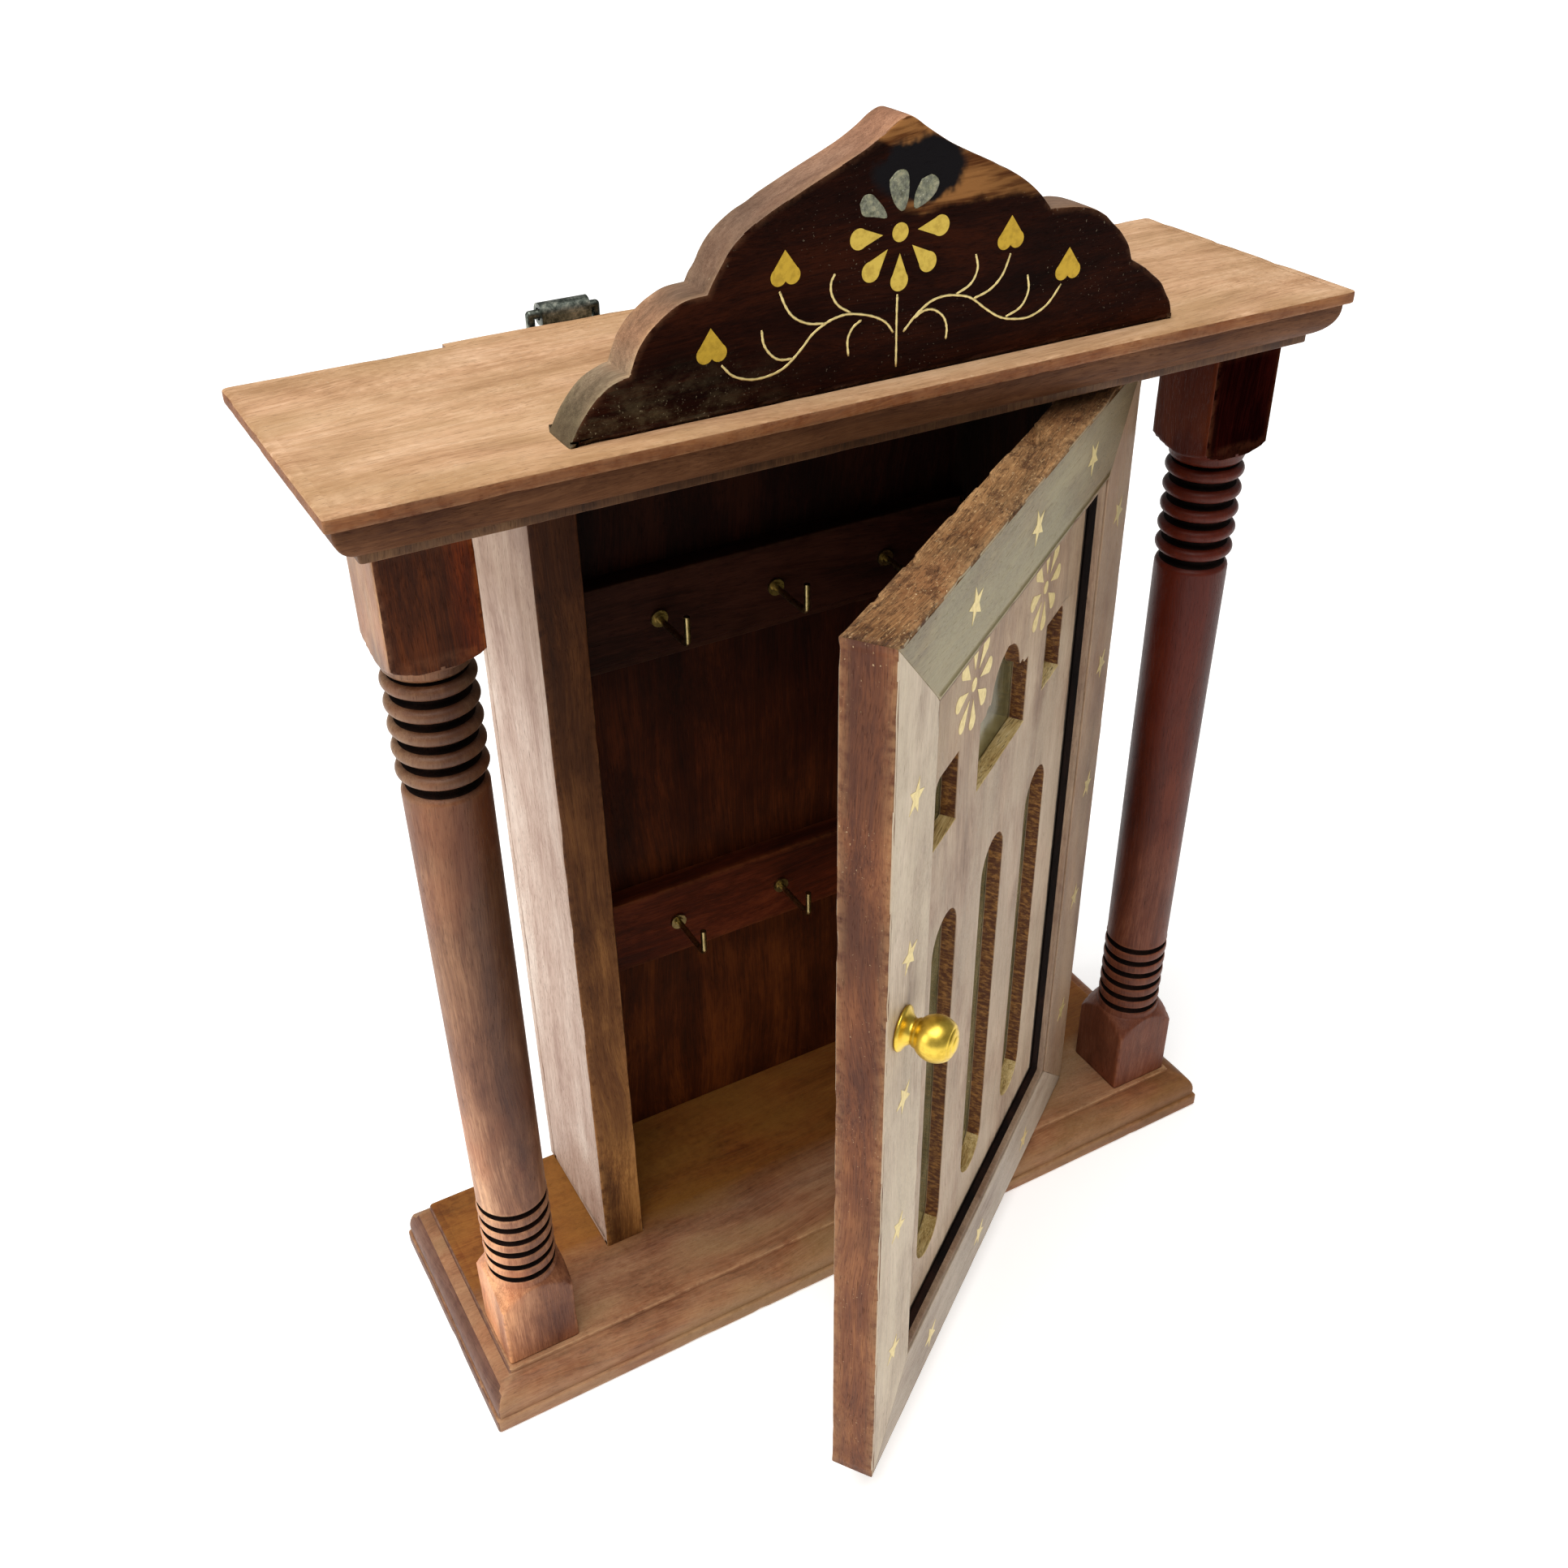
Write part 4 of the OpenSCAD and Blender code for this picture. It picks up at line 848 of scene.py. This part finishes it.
                          (-47, (0.7, 0.66, 0.6)), (-34, (0.5, 0.44, 0.4)), (-18, (0.85, 0.72, 0.64)),
                          (2, (1.15, 0.86, 0.7)), (12, (0.6, 0.55, 0.5)), (76, (0.6, 0.55, 0.5))]))),
    # Near black: painted shade in grooves and gaps, with some dirt
    "shade_and_dirt": wood("shade_and_dirt_wood", "z", ((8, 4, 3), (20, 10, 7), (40, 22, 15)), (7, 7, 7), rough=(0.7, 0.9),
        spec=0.1),
    # A shaded copy of the case wood for the sides' inner faces: painted shade, darkest at the top
    "inside": wood("inside_shaded_wood", "z", ((18, 8, 5), (34, 17, 10), (54, 30, 18)), (31, 12, 77),
        rough=(0.5, 0.8), spec=0.1,
        extra=tinted((Z, [(14, (2.6, 2.2, 1.6)), (90, (1.6, 1.4, 1.1)), (190, (0.8, 0.7, 0.6)),
                          (265, (0.4, 0.35, 0.3))]))),
    # Pale: dust on the openings' sills, lightened as painted light against their shade
    "sill": wood("sill_dust_and_painted_light", "x", ((160, 128, 76), (206, 178, 120), (232, 210, 160)), (2, 9, 4),
        rough=(0.8, 0.9), figure=0.4, contrast=1.5, spec=0.1, specks=((214, 194, 150), 0.8), bump=3.0),
    "inlay": brass("inlay_brass", srgb(196, 168, 72), srgb(150, 122, 40), (0.28, 0.5), 0.5, 0.7, 0.75),
    "heart": brass("heart_brass", srgb(184, 150, 46), srgb(136, 106, 26), (0.28, 0.5), 0.5, 0.7, 0.75),
    "star": brass("star_brass", srgb(226, 206, 142), srgb(176, 150, 84), (0.3, 0.5), 0.4, 0.7, 0.7),
    "wire": brass("hook_brass", srgb(170, 152, 104), srgb(104, 92, 56), (0.2, 0.4), 0.6, 0.5),
    "knob": brass("knob_brass", srgb(226, 194, 80), srgb(156, 124, 42), (0.24, 0.46), 0.5, 0.35, 1.0, 0.3,
        0.6),
    "steel": steel("rubbed_steel"),
    "glass": pane("glass_dust_and_painted_reflection"),
    "filling": filling("grey_filling"),
}


def finish_piece(ob, body, material, slot, *nodes):
    ob.data.materials.clear()
    ob.data.materials.append(MATERIALS[material])
    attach(ob, body)
    if nodes:
        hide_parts(*nodes)


def faces_too(ob, material, test):
    """Gives the faces whose normal and centre (in mm) pass the test a second material."""
    ob.data.materials.append(MATERIALS[material])
    index = len(ob.data.materials) - 1
    for poly in ob.data.polygons:
        if test(poly.normal, poly.center / MM):
            poly.material_index = index


# ---------------------------------------------------------------- base and cornice

quarter = [(6.6 + 6 * sin_deg(a), 0.8 + 6 - 6 * cos_deg(a), 0.25) for a in range(0, 91, 10)]
base_profile = ([(0, 0.5, 0.6), (0.15, 0.15, 0.9), (0.5, 0, 0.7), (1.6, 0, 0.15), (3.0, 0, 0.15),
                 (4.0, 0, 0.5), (4.4, 0.12, 0.8), (4.6, 0.5, 0.4), (4.62, 0.9, 0), (5.5, 0.82, 0)]
                + quarter + [(12.62, 7.3, 0), (12.8, 7.42, 0), (13.3, 7.42, 0.5), (13.8, 7.55, 0.9),
                             (14.0, 7.9, 0.6)])
base = moulded("base", (-BASE_W / 2, FRONT), (BASE_W / 2, BACK), base_profile, 0, 5, 0.9)
finish_piece(base, "cabinet", "base", "sheesham", "base_board")
faces_too(base, "base_top", lambda n, c: n.z > 0.8 and c.z > 13)
faces_too(base, "base_end", lambda n, c: n.x < -0.5)

ovolo = [(0.0, 5.75, 0.3)]
ovolo += [(6.8 + 7.6 * sin_deg(a), 1.6 + 7.6 - 7.6 * cos_deg(a), 0.15) for a in range(-56, 1, 8)]
cornice_profile = (ovolo + [(7.6, 1.6, 0), (7.95, 1.55, 0), (8.0, 1.0, 0.2), (8.02, 0.4, 0.6),
                            (8.3, 0.05, 0.8), (8.9, 0, 0.3), (10.2, 0, 0.3), (10.9, 0.05, 0.8),
                            (11.2, 0.3, 1.0), (11.3, 0.9, 0.6)])
cornice = moulded("cornice", (-CORNICE_W / 2, CORNICE_FRONT), (CORNICE_W / 2, CORNICE_BACK), cornice_profile,
                  CORNICE_Z, 8, 0.8)
finish_piece(cornice, "cabinet", "cornice", "sheesham_sunlit", "cornice_board")
faces_too(cornice, "cornice_lip", lambda n, c: n.z < 0.5 and c.z > CORNICE_Z + 7.8)
faces_too(cornice, "cornice_cove", lambda n, c: c.z < CORNICE_Z + 7.8)

# ---------------------------------------------------------------- case boards

side = [rect(0, 0, CORNICE_BACK - SIDE_FRONT, SIDE_TOP - BASE_T, 5)]
left_side = plate("left_side", side, SIDE_T, facing_left(-CASE_X, SIDE_FRONT, BASE_T), 0.5, 11, dents=0.7)
finish_piece(left_side, "cabinet", "case", "sheesham_sunlit", "left_side_panel")
faces_too(left_side, "case_left", lambda n, c: n.x < -0.8)
# Painted light and shade down the front edge
faces_too(left_side, "side_edge", lambda n, c: n.y < -0.5)
faces_too(left_side, "inside", lambda n, c: n.x > 0.5)
right_side = plate("right_side", side, SIDE_T, facing_left(CASE_X - SIDE_T, SIDE_FRONT, BASE_T), 0.5, 12)
finish_piece(right_side, "cabinet", "case", "sheesham", "right_side_panel")
faces_too(right_side, "inside", lambda n, c: n.x < -0.5)
back = plate("back_board", [rect(0, 0, 2 * CASE_X, CORNICE_TOP - BASE_T, 8)], BACK_T,
             facing_front(-CASE_X, CORNICE_BACK, BASE_T), 0.3, 13)
finish_piece(back, "cabinet", "back", "sheesham_dark", "back_panel")
faces_too(back, "cornice", lambda n, c: n.z > 0.5 or c.z > CORNICE_TOP - 0.6)
faces_too(back, "case_left", lambda n, c: n.x < -0.5)
fillet_x, fillet_front = CORNICE_W / 2 - FILLET_INSET, CORNICE_FRONT + FILLET_INSET
fillet_profile = [(0, 0.4, 0.6), (0.15, 0.1, 0.9), (0.4, 0, 0.5), (1.2, 0, 0.1), (2.3, 0, 0), (2.5, 0.1, 0)]
fillet = moulded("fillet", (-fillet_x, fillet_front), (fillet_x, CORNICE_BACK), fillet_profile, SIDE_TOP,
                 17, 0.4)
finish_piece(fillet, "cabinet", "case", "sheesham", "cornice_fillet")
for row, z, seed in (("upper", 187.5, 21), ("lower", 85.3, 22)):
    rail = plate(row + "_rail", [rect(0, 0, RAIL_W, RAIL_H, 5)], RAIL_T,
                 facing_front(-RAIL_W / 2, RAIL_FRONT, z), 0.5, seed)
    finish_piece(rail, "cabinet", "rail", "sheesham_dark", row + "_hook_rail")

# ---------------------------------------------------------------- columns

def column_rows():
    """The column's turning from bottom to top: height, radius, wear."""
    rows = [(14.0, 16, 0.3), (14.4, 16, 0.3)]
    rows += [(z, 16, 0) for z in np.arange(16, 29.5, 2.2)]
    for z in np.arange(30, 41.21, 0.4):
        if z < 35.4:
            r = 16 - 1.4 * max(0, z - 29.9) / 5.5
        elif z < 38.6:
            r = 14.6 - 2.0 * (z - 35.4) / 3.2
        else:
            r = 12.6 - 2.5 * (z - 38.6) / 2.6
        rows.append((z, r, 0.2))
    rows += [(41.3, 9.85, 0), (42.2, 9.8, 0.1), (43.0, 9.75, 0.4)]
    for i in range(6):
        zc = 44.3 + 4.93 * i
        rows += [(zc - 1.2, 9.62, 0.8), (zc - 1.0, 9.35, 0.6), (zc - 0.9, 8.4, 0), (zc, 8.1, 0),
                 (zc + 0.9, 8.4, 0), (zc + 1.0, 9.35, 0.6), (zc + 1.2, 9.6, 0.8)]
        if i < 5:
            rows += [(zc + 1.8, 9.68, 0.2), (zc + 2.5, 9.72, 0.1), (zc + 3.1, 9.68, 0.2)]
    rows += [(z, 9.4 + 0.5 * (z - 70.4) / 133, 0.0) for z in np.arange(71, 201, 4)]
    rows += [(201.6, 9.9, 0.2), (202.2, 9.75, 0.6), (202.7, 9.4, 0.7), (203.1, 8.8, 0.2), (203.4, 8.2, 0),
             (203.6, 7.2, 0), (204.6, 6.85, 0), (205.5, 7.0, 0)]
    for i in range(5):
        zc = 207.3 + 5.63 * i
        for a in range(-90, 91, 15):
            dz = 1.6 * sin_deg(a) * (1.0 if abs(a) < 90 else 1.06)
            rows.append((zc + dz, 8.8 + 1.6 * cos_deg(a), 0.55 * cos_deg(a) ** 2))
        rows.append((zc + 1.8, 7.0, 0))
        rows += [(zc + 2.8, 6.85, 0), (zc + 3.8, 7.0, 0)] if i < 4 else [(zc + 2.2, 6.9, 0)]
    rows += [(232.4, 7.0, 0), (232.6, 9.2, 0.3), (233.2, 9.7, 0.5), (233.8, 9.9, 0.3), (234.9, 9.9, 0.2),
             (235.3, 10.6, 0), (235.7, 11.4, 0.2), (236.3, 12.5, 0.2), (237.0, 13.6, 0.2),
             (237.8, 14.8, 0.3), (238.6, 15.8, 0.3)]
    rows += [(z, 16, 0) for z in np.arange(240, 263, 3)] + [(264.1, 16, 0.3), (264.5, 15.8, 0.3)]
    fixed, last = [], -1e9
    for z, r, e in rows:
        z = max(z, last + 0.02)
        fixed.append((z, r, e))
        last = z
    return fixed


for hand, x, seed in (("left", -COLUMN_X, 31), ("right", COLUMN_X, 37)):
    blocks = [(0, 42, BLOCK_HALF), (232, 265, BLOCK_HALF)]
    post = turned(hand + "_post", x, COLUMN_Y, column_rows(), blocks, seed)
    finish_piece(post, "cabinet", "column_" + hand, "sheesham", hand + "_column")
    # Painted shade on the capitals' fronts
    faces_too(post, "capital_" + hand, lambda n, c: n.y < -0.6 and c.z > 236)
    # Painted shade in the grooves between the column's beads
    faces_too(post, "shade_and_dirt", lambda n, c: 43 < c.z < 232.6 and math.hypot(c.x - x, c.y - COLUMN_Y) < 8.95)

# ---------------------------------------------------------------- crest

runs = [[(-76.4, -0.3), (-75.1, 2.3), (-73.6, 4.6), (-71.2, 7.5), (-68.7, 9.8), (-66.6, 11.1),
         (-64.3, 11.8), (-62.6, 12.0)], [(-62.6, 12.0), (-62.0, 13.4), (-60.5, 16.7), (-58.3, 19.5),
                                         (-56.0, 21.4), (-53.6, 23.0), (-51.0, 24.3), (-48.5, 24.9),
                                         (-44.9, 25.1)],
        [(-44.9, 25.1), (-43.8, 27.1), (-41.6, 30.3), (-40.0, 32.5), (-37.9, 34.5), (-34.8, 36.6),
         (-30.6, 38.8), (-25.4, 41.1), (-21.2, 42.9), (-17.0, 44.6), (-12.2, 46.5), (-9.0, 47.9),
         (-5.3, 49.9), (-2.1, 52.0), (0.6, 52.9), (2.8, 52.1), (5.4, 50.3), (8.7, 48.2), (11.9, 46.3),
         (16.4, 44.1), (19.7, 42.6), (23.1, 41.0), (26.5, 39.3), (30.1, 37.2), (33.1, 35.0), (35.6, 32.7),
         (37.9, 30.1)], [(37.9, 30.1), (40.5, 29.9), (43.5, 29.7), (47.1, 29.1), (50.2, 28.1),
                         (53.4, 26.3), (56.1, 24.2), (58.3, 21.8), (60.5, 18.9), (61.8, 15.6)],
        [(61.8, 15.6), (64.3, 14.2), (67.8, 12.0), (71.5, 8.9), (73.9, 5.7), (75.2, 2.4), (75.6, -0.3)], ]
crest_line = []
for run in runs:
    crest_line += smooth_run(run, 4)[:-1]
crest_line.append(np.array(runs[-1][-1], float))
foot = densify([(75.6, -0.3), (-76.4, -0.3)], 4, closed=False)
crest_line = np.array(crest_line + list(foot[1:]))[::-1]
on_crest = facing_front(0, CREST_FRONT, CORNICE_TOP)
crest = plate("crest", [crest_line], CREST_T, on_crest, 0.5, 41, worn=0.2, dents=0.7, cap=1.6)
finish_piece(crest, "cabinet", "crest", "sheesham_dark", "crest_board")
faces_too(crest, "crest_edge", lambda n, c: n.y > -0.75)

vine_lines = [
    [(-0.9, 18.0), (-0.95, 13), (-0.85, 7), (-0.8, 2.5)],
    [(-1.7, 10.1), (-3.7, 12.6), (-7.2, 14.5), (-12.3, 15.8), (-15.7, 15.6), (-18.5, 14.7), (-21.5, 13.0),
     (-24.0, 10.5), (-27.6, 7.6), (-31.2, 6.4), (-35.6, 6.3), (-39.8, 7.8), (-42.4, 10.5)],
    [(-18.5, 14.9), (-22.3, 15.5), (-25.6, 17.3), (-27.5, 19.8), (-28.9, 23.1)],
    [(-12.3, 16.1), (-15.2, 18.0), (-16.8, 20.6), (-16.9, 23.0), (-16.0, 24.6)],
    [(-26.0, 8.9), (-29.0, 9.2), (-31.1, 10.6), (-32.7, 13.1), (-33.1, 16.0)],
    [(-9.6, 14.1), (-11.7, 12.8), (-12.9, 10.5), (-12.7, 7.0)],
    [(0.8, 9.8), (3.9, 12.8), (7.6, 15.1), (11.5, 15.7), (16.0, 14.9), (18.6, 13.7), (22.0, 11.1), (25.6,
     8.8),
     (29.2, 7.7), (33.9, 7.4), (38.5, 9.3), (42.0, 13.3)],
    [(18.6, 13.9), (22.8, 15.2), (25.8, 17.8), (27.7, 22.1)],
    [(14.0, 15.6), (17.6, 17.2), (19.2, 20.2), (18.6, 23.3)],
    [(27.4, 8.5), (31.3, 10.0), (33.1, 13.3), (32.6, 16.8)],
    [(3.4, 12.2), (5.8, 13.4), (8.4, 13.2), (10.9, 11.3), (11.9, 8.8), (11.8, 6.3)],
]
vines = ribbons("vines", vine_lines, 0.52, 0.5, 0.07, on_crest)
finish_piece(vines, "cabinet", "star", "brass_inlay", "crest_vines")
worn = crusts("worn_petals", [[(-10.4, 37.5), (-9.4, 38.9), (-7.7, 39.0), (-6.3, 37.8), (-4.6, 35.8),
                               (-4.0, 33.9), (-7.1, 34.5), (-9.6, 35.1)],
                              [(-3.5, 41.2), (-1.5, 42.8), (0.8, 42.2), (1.3, 38.4), (0.6, 35.5),
                               (-0.6, 34.8), (-2.3, 36.6), (-3.3, 39.3)],
                              [(4.2, 40.4), (6.7, 41.0), (8.4, 39.6), (8.0, 37.8), (6.1, 36.0),
                               (2.8, 34.8), (2.7, 37.6)], ], 0.55, on_crest, 71)
finish_piece(worn, "cabinet", "filling", "worn_inlay", "crest_worn_petals")

# ---------------------------------------------------------------- door

u0, u1, v1 = FRAME_W, DOOR_W - FRAME_W, DOOR_H - FRAME_W
# outline, material, node, seed
members = {
    "free_upright": ([(0, 0), (u0, u0), (u0, v1), (0, DOOR_H)], "door_free", "free_stile", 51),
    "hinge_upright": ([(DOOR_W, 0), (DOOR_W, DOOR_H), (u1, v1), (u1, u0)], "door_hinge", "hinge_stile", 52),
    "door_head": ([(0, DOOR_H), (u0, v1), (u1, v1), (DOOR_W, DOOR_H)], "door_across", "top_rail", 53),
    "door_foot": ([(0, 0), (DOOR_W, 0), (u1, u0), (u0, u0)], "door_foot", "bottom_rail", 54),
}


def member_line(points, step):
    """The outline of a mitred member, with points kept clear of its sharp corners."""
    out = []
    clear = 2.6
    for i in range(4):
        p0, p1 = np.array(points[i], float), np.array(points[(i + 1) % 4], float)
        length = np.linalg.norm(p1 - p0)
        count = int((length - 2 * clear) / step)
        along = [(clear + (length - 2 * clear) * k / count) / length for k in range(count + 1)]
        out += [p0] + [p0 + (p1 - p0) * t for t in along]
    return np.array(out)


def member_radius(q):
    """Worn outer and inner edges, and tight mitre joints."""
    outer, along = sorted((q[0], DOOR_W - q[0], q[1], DOOR_H - q[1]))[:2]
    if outer < 0.01:
        return 0.3 if along < 0.01 else 0.6
    return 0.12 if abs(FRAME_W - outer) > 0.01 else 0.25


def chipped(ob, chips):
    """Breaks bits out of the top edge at the door's back. chips: (u, half width, depth)."""
    for vert in ob.data.vertices:
        u, w, v = vert.co / MM
        off = math.hypot(DOOR_H - v, DOOR_T - w)
        deep = sum(d * max(0.0, 1 - ((u - at) / half) ** 2) ** 0.7 for at, half, d in chips)
        away = max(0.0, deep - off)
        vert.co.y -= 0.85 * away * MM
        vert.co.z -= 0.5 * away * MM


frame_parts = {}
for label, (line, mat, node, seed) in members.items():
    head = label == "door_head"
    part = plate(label, [member_line(line, 1.3 if head else 4)], DOOR_T, on_door(), member_radius, seed, DOOR,
                 worn=0.1, dents=1.5 if head else 0.7, cap=0.95, threshold=0.25, limit=0.36)
    finish_piece(part, "door", mat, "sheesham", node)
    frame_parts[label] = part
faces_too(frame_parts["free_upright"], "door_end", lambda n, c: n.x < -0.6)
faces_too(frame_parts["hinge_upright"], "case", lambda n, c: n.x > 0.6)
chipped(frame_parts["door_head"],
        [(75, 4.0, 3.2), (100, 4.5, 6.0), (106, 3.0, 3.0), (143, 7.0, 4.6), (128, 2.6, 2.0), (33, 3.0, 2.0)])
faces_too(frame_parts["door_head"], "door_top", lambda n, c: n.z > 0.12)

# section of the strip inside the frame: inset from the frame, depth, wear
strip = [(0.0, 3.9, 0), (0.0, 1.1, 0), (0.3, 0.75, 0.2), (0.6, 0.45, 0.6), (0.95, 0.42, 0.7),
         (1.35, 0.6, 0.5), (1.75, 1.15, 0.2), (2.15, 1.9, 0.1), (2.5, 2.6, 0.1), (2.75, 3.05, 0.2),
         (2.95, 3.4, 0.2), (3.0, 3.95, 0)]


def in_quirk(c):
    """The thin groove between the frame and its moulding."""
    off = min(c.x - FRAME_W, DOOR_W - FRAME_W - c.x, c.z - FRAME_W, DOOR_H - FRAME_W - c.z)
    return c.y > 0.55 and off < 0.4


lip = loop_strip("door_beading", FRAME_W, strip, 57)
finish_piece(lip, "door", "moulding", "sheesham", "door_moulding")
# Painted shade on the moulding's deep slope and in its quirk
faces_too(lip, "shade_and_dirt", lambda n, c: c.y > 2.0 or in_quirk(c))
hold = [(0, 10.0, 0), (0, 11.2, 0.6), (0.2, 11.4, 0.6), (5.7, 11.4, 0.6), (6.0, 11.1, 0.6), (6.0, 10.0, 0)]
glass_strips = loop_strip("glass_strips", FRAME_W - 3.95, hold, 58)
finish_piece(glass_strips, "door", "case", "sheesham", "glass_retainers")

knob_rows = [(0.0, 4.7, 0), (0.15, 5.05, 0), (0.45, 5.25, 0), (0.8, 5.1, 0), (1.1, 4.6, 0),
             (1.35, 4.1, 0), (1.8, 3.55, 0), (2.4, 3.1, 0), (2.8, 2.95, 0), (3.1, 3.0, 0), (3.3, 3.2, 0),
             (3.6, 3.35, 0), (3.9, 3.4, 0), (4.15, 3.5, 0)]
knob_rows += [(7.9 - 5.2 * cos_deg(t), 5.2 * sin_deg(t), 0) for t in range(46, 131, 6)]
knob_rows += [(11.45, 3.72, 0), (11.5, 3.45, 0), (11.62, 3.4, 0), (11.9, 2.95, 0), (12.1, 2.4, 0),
              (12.12, 2.05, 0), (12.25, 1.95, 0), (12.45, 1.5, 0), (12.58, 0.8, 0), (12.6, 0.1, 0)]
knob_place = DOOR @ Matrix.Translation((KNOB_U * MM, 0, KNOB_V * MM)) @ Matrix.Rotation(math.radians(90),
                                                                                        4, "X")
knob = turned("knob", 0, 0, knob_rows, (), 66, knob_place, segments=64)
finish_piece(knob, "door", "knob", "brass_knob", "door_knob")


def lancet(cx):
    return arc(cx, 145.9, 8.1, 0, 180, 14) + arc(cx, 46.6, 8.1, 180, 360, 14)


mid = DOOR_W / 2 - 2.4
arch = ([(mid - 16.7, 178), (mid + 16.7, 178), (mid + 16.7, 196.2), (mid + 13.6, 196.2)]
        + arc(mid + 11.5, 196.0, 1.8, 10, 130, 4)
        + arc(mid, 196.9, 9.8, 10, 76, 8) + [(mid, 207.2)] + arc(mid, 196.9, 9.8, 104, 170, 8)
        + arc(mid - 11.5, 196.0, 1.8, 50, 170, 4) + [(mid - 13.6, 196.2), (mid - 16.7, 196.2)])


def side_arch(cx, s):
    line = [(cx - s * 6.9, 179.3), (cx + s * 6.9, 179.3), (cx + s * 6.9, 194.6)]
    line += [(cx + s * (4.3 + 2.6 * math.cos(t)), 194.6 + 2.6 * math.sin(t))
             for t in np.linspace(0.2, math.pi / 2, 5)]
    return line + [(cx - s * 6.9, 197.2)]


openings = [evened(lancet(mid + s)) for s in (-33, 0, 33)]
openings += [evened(arch), evened(side_arch(mid + 37.2, 1)), evened(side_arch(mid - 37.2, -1)[::-1])]
field = rect(19.1, 19.1, DOOR_W - 19.1, DOOR_H - 19.1, 4)
panel = plate("pierced_panel", [field] + openings, 4.0, on_door(4.0), 0.25, 61, DOOR, worn=0.05,
              dents=0.2, cap=0.75, wall_cut=1.0)
finish_piece(panel, "door", "panel", "sheesham", "jali_panel")
faces_too(panel, "sill", lambda n, c: n.z > 0.5 and c.z < 190)

# ---------------------------------------------------------------- CAD pieces that keep their shape

keep = { "crest_flower": "inlay", "crest_hearts": "heart", "back_nails": "steel",
        "upper_key_hooks": "wire", "lower_key_hooks": "wire", "base_screws": "steel",
        "frame_hinge_leaves": "wire", "frame_hinge_screws": "wire", "hinge_pins": "steel",
        "left_hanger_strap": "steel", "right_hanger_strap": "steel", "hanger_screws": "steel",
        "left_hanger_ring": "steel", "right_hanger_ring": "steel", "door_glass": "glass",
        "retainer_pins": "steel", "frame_stars": "star", "panel_flowers": "star", "knob_screw": "steel",
        "door_hinge_leaves": "wire", "door_hinge_screws": "wire", }
for node, mat in keep.items():
    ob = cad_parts[node]
    ob.data.materials.clear()
    ob.data.materials.append(MATERIALS[mat])

# ---------------------------------------------------------------- stage, light, camera

bpy.ops.mesh.primitive_plane_add(size=8, location=(0, 0, -0.0002))
floor = bpy.context.object
floor.name = "floor"
surface = Nodes("studio_floor")
surface.set("Base Color", (0.93, 0.93, 0.93, 1))
surface.set("Roughness", 0.8)
surface.set("Specular IOR Level", 0.1)
surface.set("Emission Color", (1, 1, 1, 1))
reach = surface.new("ShaderNodeVectorMath", operation="LENGTH")
surface.link(surface.new("ShaderNodeTexCoord").outputs["Object"], reach.inputs[0])
glow = surface.step(reach.outputs["Value"], 0.35, 1.4)
surface.set("Emission Strength", surface.math("MULTIPLY_ADD", glow, 0.45, 0.42))
floor.data.materials.append(surface.material)

world = bpy.data.worlds.new("studio")
bpy.context.scene.world = world
world.use_nodes = True
sky = world.node_tree.nodes["Background"].inputs
sky["Color"].default_value = (1.0, 0.99, 0.97, 1)
sky["Strength"].default_value = 0.3


def softbox(name, where, target, size, watts, colour):
    d = bpy.data.lights.new(name, "AREA")
    d.shape = "RECTANGLE"
    d.size, d.size_y = size
    d.energy = watts
    d.color = colour
    o = bpy.data.objects.new(name, d)
    bpy.context.scene.collection.objects.link(o)
    o.location = where
    o.rotation_mode = "QUATERNION"
    o.rotation_quaternion = (Vector(target) - Vector(where)).to_track_quat("-Z", "Y")


softbox("top", (-0.45, -0.25, 1.7), (0, 0, 0.1), (1.3, 1.3), 30, (1.0, 0.98, 0.95))
softbox("left", (-1.2, 0.05, 0.6), (0, 0, 0.12), (0.6, 0.7), 4, (1.0, 0.98, 0.96))

cam_data = bpy.data.cameras.new("camera")
cam = bpy.data.objects.new("camera", cam_data)
bpy.context.scene.collection.objects.link(cam)
bpy.context.scene.camera = cam
yaw, pitch, roll = 0.504, -0.599, -0.015
forward = Vector((math.sin(yaw) * math.cos(pitch), math.cos(yaw) * math.cos(pitch), math.sin(pitch)))
right = Vector((math.cos(yaw), -math.sin(yaw), 0))
up = right.cross(forward)
rolled_right = math.cos(roll) * right + math.sin(roll) * up
rolled_up = -math.sin(roll) * right + math.cos(roll) * up
rot = Matrix((rolled_right, rolled_up, -forward)).transposed()
cam.matrix_world = Matrix.Translation((-0.1827, -0.3115, 0.3995)) @ rot.to_4x4()
cam_data.lens = 36.64
cam_data.sensor_width = 36
cam_data.clip_start = 0.01
bpy.context.scene.view_settings.view_transform = "Standard"
